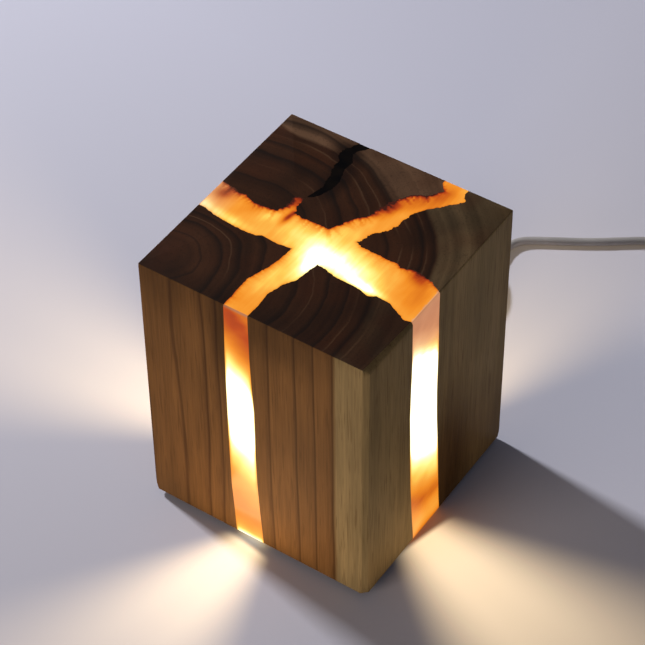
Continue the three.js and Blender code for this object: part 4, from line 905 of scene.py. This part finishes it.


# Hills on the top: centre in mm, half widths in mm, angle in degrees, strength
top_hills = [
    ((9, -9), (16, 5.6), -4, 0.38), ((2.5, -15), (7, 3.2), 100, 0.32), ((22, -12), (7, 1.8), -8, 0.3),
    ((3, -3), (17, 5.5), -4, 0.18), ((-3, -22.5), (8, 4.5), 80, 0.13), ((-7, -36), (5, 5), 0, -0.06),
    ((-31, -9.5), (12, 2.4), -5, 0.2), ((-39, -6), (3, 3.5), 0, 0.16),
    ((-36.2, -1.2), (3.2, 4.4), -30, -0.42), ((-25.4, -1.5), (2.2, 5), -35, -0.16),
    ((-19.6, -2.2), (1.8, 3.6), -35, 0.12), ((-14.3, 0.6), (1.2, 3.6), -6, -0.5),
    ((-16.6, 6.6), (2.6, 3.6), -35, -0.4), ((-14.9, 10.4), (2.2, 2.2), 0, -0.3),
    ((8.6, 20.4), (2.8, 5), -28, -0.4), ((14, 27), (4, 5), -40, -0.12), ((19, 32.5), (3.2, 7.5), -25, -0.24),
    ((24.8, 38.8), (2.6, 2.6), 0, 0.16), ((31.8, 0.4), (3, 4.8), 40, -0.36), ((34.4, -8), (5.5, 6), 0, -0.2),
    ((1.5, 4.5), (6, 5), 0, 0.1),
]
base_heat = 0.53


def top_heat(points):
    """Heat of the glow on the top: a warm level and the hills, less a rim that fades exponentially."""
    hills = (strength * blob(points, *hill) for *hill, strength in top_hills)
    heat = base_heat + sum(hills)
    distance, number = nearest(points, np.concatenate([wall[-1] for wall in ragged.values()]))
    darkness, width = rim_darkness()
    return heat - (least_rim + rim_range * darkness[number]) * np.exp(-distance / width[number])


print("hills on the top:", len(top_hills))

# %% [markdown]
# The four strips are brightest halfway up, beside the lamps inside, and shade off to amber and burnt orange
# above and below. A formula would make them all alike, so each has a table of heats of its own. A milky
# haze makes the orange paler in some places, as fine bubbles in a casting do, and along the thin arris of
# the top the same pale colour is a painted highlight.

# %% Heat and haze of the strips
# Heat of each strip over the height: heights in mm, heats, and how far the pattern leans across
strip_heat = {
    "-y": ((2, 3.4, 5, 9.5, 14, 20, 28, 35, 43, 51, 66, 72, 77, 81, 85, 89, 94, 99, 102),
           (1.0, 0.75, 0.58, 0.44, 0.39, 0.43, 0.58, 0.76, 0.98, 1.15, 1.15, 0.98, 0.8, 0.6, 0.38, 0.26, 0.2,
            0.18, 0.3), -0.75),
    "+x": ((2, 4, 6, 10, 16.4, 20, 26, 35, 44, 79, 82, 84, 88, 94, 102),
           (0.3, 0.48, 0.58, 0.5, 0.26, 0.36, 0.6, 0.85, 1.15, 1.15, 1.0, 0.78, 0.54, 0.33, 0.33), -0.6),
    "+y": ((2, 3, 5, 10, 20, 30, 42, 66, 78, 90, 102),
           (1.0, 0.8, 0.5, 0.44, 0.55, 0.75, 1.15, 1.2, 0.8, 0.35, 0.4), 0.3),
    "-x": ((2, 3, 5, 10, 20, 32, 44, 68, 80, 91, 102),
           (1.0, 0.8, 0.5, 0.46, 0.55, 0.8, 1.2, 1.2, 0.8, 0.36, 0.4), -0.4),
}
# Which axis a strip faces along and which way, and the walls at its low and high side with their ends
strip_faces = {"-y": (1, -1), "+x": (0, 1), "+y": (1, 1), "-x": (0, -1)}
strip_walls = {"-y": ("left", 0, "front", -1), "+x": ("front", 0, "right", -1),
               "+y": ("back", -1, "right", 0), "-x": ("left", -1, "back", 0)}
heat_inside = 0.45
on_face = half - 0.6
edge_width = 0.35
edge_heat = 0.42
arris_foot = block_top - 0.4
just_under_top = block_top - 0.01


def side_heat(points):
    """Heat of the glow on the four strips: each follows its table over the height, which leans across above
    the foot, and is cooler in a thin line along the wood."""
    heat = np.full(len(points), heat_inside)
    for side, (heights, heats, lean) in strip_heat.items():
        axis, sign = strip_faces[side]
        low_wall, low_end, high_wall, high_end = strip_walls[side]
        low = np.interp(points[:, 2], levels, ragged[low_wall][:, low_end, 1 - axis])
        high = np.interp(points[:, 2], levels, ragged[high_wall][:, high_end, 1 - axis])
        across = points[:, 1 - axis]
        lean = lean * np.clip((points[:, 2] - 10) / 12, 0, 1)
        value = np.interp(points[:, 2] - lean * (across - (low + high) / 2), heights, heats)
        edge = np.exp(-np.clip(np.minimum(across - low, high - across), 0, None) / edge_width)
        value = value - edge * np.clip(value - edge_heat, 0, 0.45)
        heat = np.where(sign * points[:, axis] > on_face, value, heat)
    return heat


def haze_and_arris_highlight(points):
    """How milky the glow is: high on the upper end of the +X strip, a little in the lower part of the -Y
    strip and towards the -X edge of the top. In the thin polished arris between top and faces it is full: a
    painted highlight along the edge."""
    x, y, z = points.T
    haze = np.where(x > on_face, np.interp(z, (80, 88, 102), (0, 0.7, 0.9)), 0)
    haze = np.where(y < -on_face, np.interp(z, (4, 10, 26, 36), (0, 0.1, 0.1, 0)), haze)
    haze = np.where((z > just_under_top) & (x < -30), np.interp(x, (-40, -30), (0.7, 0)), haze)
    return np.where((z > arris_foot) & (z < just_under_top), 1.0, haze)


print("strips:", sorted(strip_heat))

# %% [markdown]
# The body is stacked from the same walls as the posts. The glow could be painted as a picture on it, but then
# it would have to be unwrapped first. Instead its top has a fine net of points, and every point gets its heat
# and its haze as two named values that the finish reads.

# %% The resin's body
resin, _ = stack("resin_body", resin_outlines(), levels, spacing=0.55)
cut(resin, disc_cutter())
soften(resin, smooth_below)
resin_points = np.empty(3 * len(resin.data.vertices))
resin.data.vertices.foreach_get("co", resin_points)
resin_points = resin_points.reshape(-1, 3) / mm
on_top = resin_points[:, 2] > just_under_top
heat = side_heat(resin_points)
heat[on_top] = top_heat(resin_points[on_top])
heat_layer = resin.data.attributes.new("glow_heat", "FLOAT", "POINT")
heat_layer.data.foreach_set("value", heat)
# The haze value also carries the painted highlight along the top's arris
haze_and_highlight_layer = resin.data.attributes.new("glow_haze_and_highlight", "FLOAT", "POINT")
haze_and_highlight_layer.data.foreach_set("value", haze_and_arris_highlight(resin_points))
print("resin points:", len(resin_points))
print("heat from", round(float(heat.min()), 2), "to", round(float(heat.max()), 2))

# %% [markdown]
# Polished casting resin has a clean gloss, but its own light outshines it, so the eye takes in the colour of
# the glow first: a ramp turns the heat into colour, from burnt orange over amber to white. Fine streaks run
# across the arms, where the lit walls of the gap show through the top. A plain ramp would leave the arms as
# smooth as neon, so these streaks and a slow cloud shift the heat before it is turned into colour.

# %% The finish of the lit resin
def sway(tree, pattern, amount):
    """Stretches a noise from its usual 0.3 to 0.7 to minus amount to amount."""
    return add(tree, "MapRange", {"Value": pattern, "From Min": 0.3, "From Max": 0.7, "To Min": -amount,
                                  "To Max": amount}, "Result")


casting_resin, tree, shader = finish("casting resin, polished, lit from inside",
                                     **{"Roughness": 0.16, "IOR": 1.5, "Specular IOR Level": 0.2})
heat_of_point, haze_and_highlight_of_point = (add(tree, "Attribute", out="Fac", attribute_name=name)
                                for name in ("glow_heat", "glow_haze_and_highlight"))

lean_of_streaks = math.radians(34)
along_streaks = add(tree, "Mapping", {"Vector": in_millimetres(tree), "Rotation": (0, 0, -lean_of_streaks),
                                      "Scale": (1, 0.16, 0.16)}, "Vector")
fine_streaks, broad_streaks = (
    add(tree, "TexNoise", {"Vector": along_streaks, "Scale": 1 / size, "Detail": detail}, "Fac")
    for size, detail in ((1.1, 3.0), (3.5, 2.0)))
upward = add(tree, "SeparateXYZ", {0: add(tree, "NewGeometry", out="Normal")}, "Z")
streaky = add(tree, "Math", {0: sway(tree, fine_streaks, 0.02), 1: sway(tree, broad_streaks, 0.03)}, 0,
              operation="ADD")
streaky = add(tree, "Math", {0: streaky, 1: upward}, 0, operation="MULTIPLY")
cloudy = sway(tree, speckle(tree, 7.0, 1.0), 0.03)
glow = add(tree, "Math", {0: heat_of_point, 1: streaky}, 0, operation="ADD")
glow = add(tree, "Math", {0: glow, 1: cloudy}, 0, operation="ADD", use_clamp=True)

clear_colours = add(tree, "ValToRGB", {"Fac": glow}, "Color", [
    (0.0, "#3c0f02"), (0.1, "#8c2802"), (0.2, "#bd4806"), (0.3, "#da700e"), (0.42, "#f28e1f"),
    (0.54, "#fba436"), (0.66, "#fdc552"), (0.76, "#fedb78"), (0.86, "#feeca6"), (0.94, "#fffad8"),
    (1.0, "#ffffff")])
# Milky haze, and the painted highlight along the top's arris, take this paler ramp
milky_and_highlight_colours = add(tree, "ValToRGB", {"Fac": glow}, "Color", [
    (0.0, "#6b3a22"), (0.2, "#a4643f"), (0.36, "#c78a62"), (0.5, "#e6ac7e"), (0.66, "#f9cf9d"),
    (0.85, "#fff0d4"), (1.0, "#ffffff")])
heat_colours = add(tree, "Mix", {0: haze_and_highlight_of_point, 6: clear_colours, 7: milky_and_highlight_colours}, 2, data_type="RGBA")
# Under its glow the resin is nearly black, or the light of the lamps would lie on it like a veil
dull = add(tree, "Mix", {0: 0.92, 6: heat_colours, 7: linear("#1c0d04")}, 2, data_type="RGBA")
power = add(tree, "MapRange", {"Value": glow, "From Min": 0.6, "From Max": 1.0, "To Min": 0.95,
                               "To Max": 1.7}, "Result")
feed(shader, {"Emission Color": heat_colours, "Emission Strength": power, "Base Color": dull})
resin.data.materials.clear()
resin.data.materials.append(casting_resin)
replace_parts(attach(resin, "lamp"), "resin_cross")
print("nodes in the lit resin's finish:", len(tree.nodes))

# %% [markdown]
# The resin also ran into the crack. No light reaches it there, so the eye sees a black, ragged line that is
# flush with the wood. It could be left out and would hardly be missed from afar, but then the crack would be
# an open one, with edges that catch the light.

# %% The filled crack
resin_in_painted_shade, tree, shader = finish("casting resin, polished, unlit in a deep crack",
                                  **{"Roughness": 0.5, "IOR": 1.5, "Specular IOR Level": 0.02})
# Painted shade: the clear resin gets a near-black colour for the shade deep in the crack
feed(shader, {"Base Color": add(tree, "ValToRGB", {"Fac": speckle(tree, 6.0)}, "Color",
                                [(0.35, "#060506"), (0.65, "#110c09")])})
filling = check_blade("check_filling_resin", beyond=0, above=0)
soften(filling, smooth_below)
filling.data.materials.append(resin_in_painted_shade)
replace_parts(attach(filling, "lamp"), "check_filling")
print("points of the filling:", len(filling.data.vertices))

# %% [markdown]
# The CAD model's own pieces keep their shapes and get their real finishes. Each finish is named for the
# material and for how its surface was made. Most differ only in colour, gloss and the size of their grain, so
# one function makes them all: a colour that drifts between two near tones, and a fine relief.

# %% A plain finish and who gets it
dressed = set()


def plain_finish(name, low, high, roughness, grain_mm, depth_mm, metallic=0.0, stretch=(1, 1, 1)):
    """A finish whose colour drifts from low to high over six grains, with a relief of one grain's size. A
    metal keeps the shader's own IOR, and anything else has that of plastic and glaze."""
    values = {"Roughness": roughness, "Metallic": metallic}
    if not metallic:
        values["IOR"] = 1.5
    made, tree, shader = finish(name, **values)
    tone = speckle(tree, grain_mm * 6, 2.0, stretch)
    grain = speckle(tree, grain_mm, 2.0, stretch)
    feed(shader, {"Base Color": add(tree, "ValToRGB", {"Fac": tone}, "Color", [(0.3, low), (0.7, high)]),
                  "Normal": add(tree, "Bump", {"Height": grain, "Distance": depth_mm * mm}, "Normal")})
    return made


def dress(starts, made):
    """Gives a finish to each shown piece that starts names, or whose name begins with one that ends in _."""
    for name, piece in shown.items():
        if any(name == start or (start.endswith("_") and name.startswith(start)) for start in starts):
            piece.data.materials.clear()
            piece.data.materials.append(made)
            dressed.add(name)


# The lead's stretch inside the wood has the same jacket as outside
dress(["cord_inner"], cord_jacket)
print("dressed:", sorted(dressed))

# %% [markdown]
# Moulded plastics take their gloss from the steel they were moulded against. A spark-eroded mould leaves a
# matt grain that hides scratches, a polished one a shine. Soft PVC and rubber are duller still. Their colours
# are so alike here that the eye tells them apart by the width of their highlights.

# %% Plastics and rubber
dress(["base_plate"], plain_finish(
    "ABS, black, moulded with a spark-eroded texture", "#17171a", "#222226", 0.55, 0.35, 0.03))
# Fine texture: the shells look even and soft, with a broad highlight
dress(["switch_lower_shell", "switch_upper_shell"], plain_finish(
    "ABS, light grey, moulded with a fine texture", "#b5b2af", "#c0bdba", 0.45, 0.4, 0.02))
# Polished: the rocker is what the finger finds, and it shines a little more than its shells
dress(["switch_rocker"], plain_finish("ABS, light grey, polished", "#bcb9b6", "#c8c5c2", 0.3, 0.6, 0.008))
dress(["plug_body"], plain_finish("soft PVC, light grey, overmoulded", "#aaa5a1", "#b7b2ae", 0.5, 0.4, 0.02))
dress(["cord_gland"], plain_finish("soft PVC, moulded", "#7f7b79", "#8d8987", 0.55, 0.4, 0.02))
dress(["plug_tongue"], plain_finish("polyester, white, moulded", "#dedfdc", "#e9eae7", 0.4, 0.4, 0.01))
dress(["cord_retaining_tie"], plain_finish("nylon, moulded", "#121214", "#1b1b1e", 0.42, 0.5, 0.01))
# Rubber feet drink the light: almost no highlight
dress(["foot_pad_"], plain_finish("nitrile rubber, moulded", "#222224", "#2d2d2f", 0.8, 0.4, 0.03))
# The strap's loops are drawn 0.45 mm apart, coarser than real ones, so that its nap can be seen at all
dress(["coil_tie"], plain_finish("hook-and-loop strap, woven nylon", "#1c1c1e", "#333336", 0.95, 0.45, 0.16))
print("dressed so far:", len(dressed))

# %% [markdown]
# Plated and extruded metals show the pale room in a blurred mirror. Zinc on the screws is greyer and duller
# than nickel on the plug's shell, and the extruded bar has die lines that run up along it.

# %% Metals
dress(["base_screw_", "led_heat_sink_screw", "switch_screw_", "switch_pivot_pin"], plain_finish(
    "mild steel, zinc plated", "#a5a8ad", "#bcbfc4", 0.34, 0.3, 0.01, 1.0))
dress(["plug_shell"], plain_finish(
    "sheet steel, nickel plated", "#b9bab8", "#cbccca", 0.24, 0.25, 0.006, 1.0, (1, 1, 0.3)))
dress(["led_heat_sink"], plain_finish(
    "aluminium, extruded", "#aeb1b5", "#c3c6ca", 0.38, 0.5, 0.02, 1.0, (1, 1, 0.02)))
dress(["switch_bridge", "switch_terminal_", "plug_contact_"], plain_finish(
    "brass, stamped, gold flashed", "#c49746", "#d6ab57", 0.28, 0.3, 0.006, 1.0))
print("dressed so far:", len(dressed))

# %% [markdown]
# The parts of the light module are out of sight inside the block, and could stay grey. But whoever opens the
# model finds them finished too: white solder mask that throws the light outwards, yellow phosphor on the
# chips, black glaze on the resistors, and wires in two colours to tell them apart.

# %% The light module and its wires
dress(["led_circuit_board", "led_strip_"], plain_finish(
    "glass-fibre board with white solder mask", "#e4e5e0", "#eff0eb", 0.4, 0.4, 0.01))
dress(["led_chip_"], plain_finish("silicone with yellow phosphor", "#e8b53c", "#f2c552", 0.35, 0.5, 0.01))
dress(["resistor_"], plain_finish("ceramic, black glazed", "#141416", "#1e1e21", 0.35, 0.3, 0.01))
dress(["wire_red", "switch_wire"], plain_finish("PVC insulation, red", "#a3211a", "#b52b22", 0.45, 0.4, 0.01))
dress(["wire_black"], plain_finish("PVC insulation, black", "#121213", "#1c1c1e", 0.45, 0.4, 0.01))
hidden = {name for name, node in nodes.items() if node.hide_render}
print("CAD nodes without a finish:", sorted(set(nodes) - dressed - hidden))

# %% [markdown]
# The lit strips throw fans of warm light on the table. Lamps inside the gaps could do that, but they would be
# slow and noisy, so the table itself glows in the shape of each fan: its light fades sideways, away from the
# fan's middle line, and with the distance.

# %% Fans of light
def fan(tree, place, apex, heading, half_angle, near, peak, fade):
    """Brightness of one strip's fan on the table. Seen from its apex inside the block, a point lies ahead by
    one distance and beside by another. Their ratio fades the fan sideways. Ahead, it starts at near, and then
    falls by one over one plus the square of the distance over fade. Lengths are in mm, angles in degrees."""
    outward = (math.cos(math.radians(heading)), math.sin(math.radians(heading)), 0)
    sideways = (-outward[1], outward[0], 0)
    apart = add(tree, "VectorMath", {0: place, 1: (*apex, 0)}, 0, operation="SUBTRACT")
    ahead, beside = (add(tree, "VectorMath", {0: apart, 1: axis}, "Value", operation="DOT_PRODUCT")
                     for axis in (outward, sideways))
    beside = add(tree, "Math", {0: beside}, 0, operation="ABSOLUTE")
    positive = add(tree, "Math", {0: ahead, 1: 1.0}, 0, operation="MAXIMUM")
    ratio = add(tree, "Math", {0: beside, 1: positive}, 0, operation="DIVIDE")
    limit = math.tan(math.radians(half_angle))
    across = add(tree, "MapRange", {"Value": ratio, "From Min": 0.2 * limit, "From Max": 1.65 * limit,
                                    "To Min": peak, "To Max": 0.0}, "Result", interpolation_type="SMOOTHSTEP")
    started = add(tree, "MapRange", {"Value": ahead, "From Min": near, "From Max": near + 2.5}, "Result",
                  interpolation_type="SMOOTHSTEP")
    gone = add(tree, "Math", {0: ahead, 1: near}, 0, operation="SUBTRACT")
    gone = add(tree, "Math", {0: gone, 1: fade}, 0, operation="DIVIDE")
    gone = add(tree, "Math", {0: gone, 1: gone, 2: 1.0}, 0, operation="MULTIPLY_ADD")
    bright = add(tree, "Math", {0: across, 1: started}, 0, operation="MULTIPLY")
    return add(tree, "Math", {0: bright, 1: gone}, 0, operation="DIVIDE")


# Each strip's fan: (apex, heading, half angle, near, peak, fade)
fans = [((-0.3, -25.2), -98.5, 20, 15.5, 1.1, 43), ((17, -2), -15, 19, 24, 1.0, 70),
        ((-20, -4), -178, 20, 20.5, 0.85, 50), ((19, 22), 88, 18, 18.5, 0.6, 45)]
print("fans of light:", len(fans))

# %% [markdown]
# The table is a board painted in a matt, cool white. Matt paint gives the eye no mirror image, only the soft
# shadow and the glow. Its colour turns a little paler and bluer towards the back: painted light, for the
# light that falls more strongly on the far part of the table.

# %% Table
table_top, tree, shader = finish("painted board, matt", Roughness=0.7, IOR=1.45)
place = in_millimetres(tree)
depth = add(tree, "SeparateXYZ", {0: place}, "Y")
# Painted light: the colour ramp along Y makes the board paler and bluer towards the back
drift = add(tree, "MapRange", {"Value": depth, "From Min": -120, "From Max": 160}, "Result")
warm_light, *others = [fan(tree, place, *values) for values in fans]
for one in others:
    warm_light = add(tree, "Math", {0: warm_light, 1: one}, 0, operation="ADD")
feed(shader, {
    "Base Color": add(tree, "ValToRGB", {"Fac": drift}, "Color",
                      [(0.0, "#bbbac6"), (0.45, "#c5c5d3"), (1.0, "#cfd0e1")]),
    "Emission Strength": warm_light,
    "Normal": add(tree, "Bump", {"Height": speckle(tree, 1.2), "Distance": 0.02 * mm}, "Normal")})
shader.inputs["Emission Color"].default_value = linear("#ffe0b2")
floor_mesh = bpy.data.meshes.new("floor")
reach = 2.5
floor_mesh.from_pydata([(-reach, -reach, 0), (reach, -reach, 0), (reach, reach, 0), (-reach, reach, 0)], [],
                       [(0, 1, 2, 3)])
floor = bpy.data.objects.new("floor", floor_mesh)
bpy.context.scene.collection.objects.link(floor)
floor.data.materials.append(table_top)
print("table, m:", 2 * reach, "square")

# %% [markdown]
# A small key lamp stands low on the left, so the block's shadow falls to the right and has an edge. Two weak
# and larger lamps fill in the near sides. A picture of a studio could do all this, but five lamps can be
# named and set one by one. The last two are tiny and flat and lie on the table under the near fans, where the
# light that bounces off a real table warms the foot of the wood. The room's own light is weak, but the world
# looks brighter to the camera and in reflections, so that metal shows a pale room.

# %% Lamps and the room
def area_light(name, place, target, size, watts, colour):
    """A square lamp at place that faces target, both in metres. No camera sees the lamp itself."""
    lamp = bpy.data.lights.new(name, "AREA")
    lamp.shape = "SQUARE"
    lamp.size = size
    lamp.energy = watts
    lamp.color = linear(colour)[:3]
    made = bpy.data.objects.new(name, lamp)
    made.location = place
    made.rotation_euler = (Vector(target) - Vector(place)).to_track_quat("-Z", "Y").to_euler()
    made.visible_camera = False
    bpy.context.scene.collection.objects.link(made)


block_middle = (0, 0, 0.05)
area_light("key", (-1.0, 0.14, 0.8), block_middle, 0.12, 13, "#fdfdff")
area_light("fill", (-0.51, -1.74, 0.5), block_middle, 0.87, 16.8, "#ffeedd")
area_light("fill_right", (1.9, -0.71, 0.235), block_middle, 0.4, 3.0, "#ffeedd")
just_above_table = 0.0004
for name, x, y, watts in (("foot_front", -0.003, -0.068, 0.02), ("foot_right", 0.07, -0.026, 0.006)):
    area_light(name, (x, y, just_above_table), (x, y, 1), 0.04, watts, "#ffd9a8")

room_light = 0.09
room_as_seen = 0.4
world = bpy.data.worlds.new("studio")
bpy.context.scene.world = world
world.use_nodes = True
background = world.node_tree.nodes["Background"]
background.inputs["Color"].default_value = linear("#dcdff0")
rays = add(world.node_tree, "LightPath")
looking = add(world.node_tree, "Math", {
    0: rays.outputs["Is Camera Ray"], 1: rays.outputs["Is Glossy Ray"]}, 0, operation="MAXIMUM")
strength = add(world.node_tree, "MapRange", {"Value": looking, "To Min": room_light,
                                              "To Max": room_as_seen}, "Result")
world.node_tree.links.new(strength, background.inputs["Strength"])
bpy.context.scene.view_settings.view_transform = "Standard"
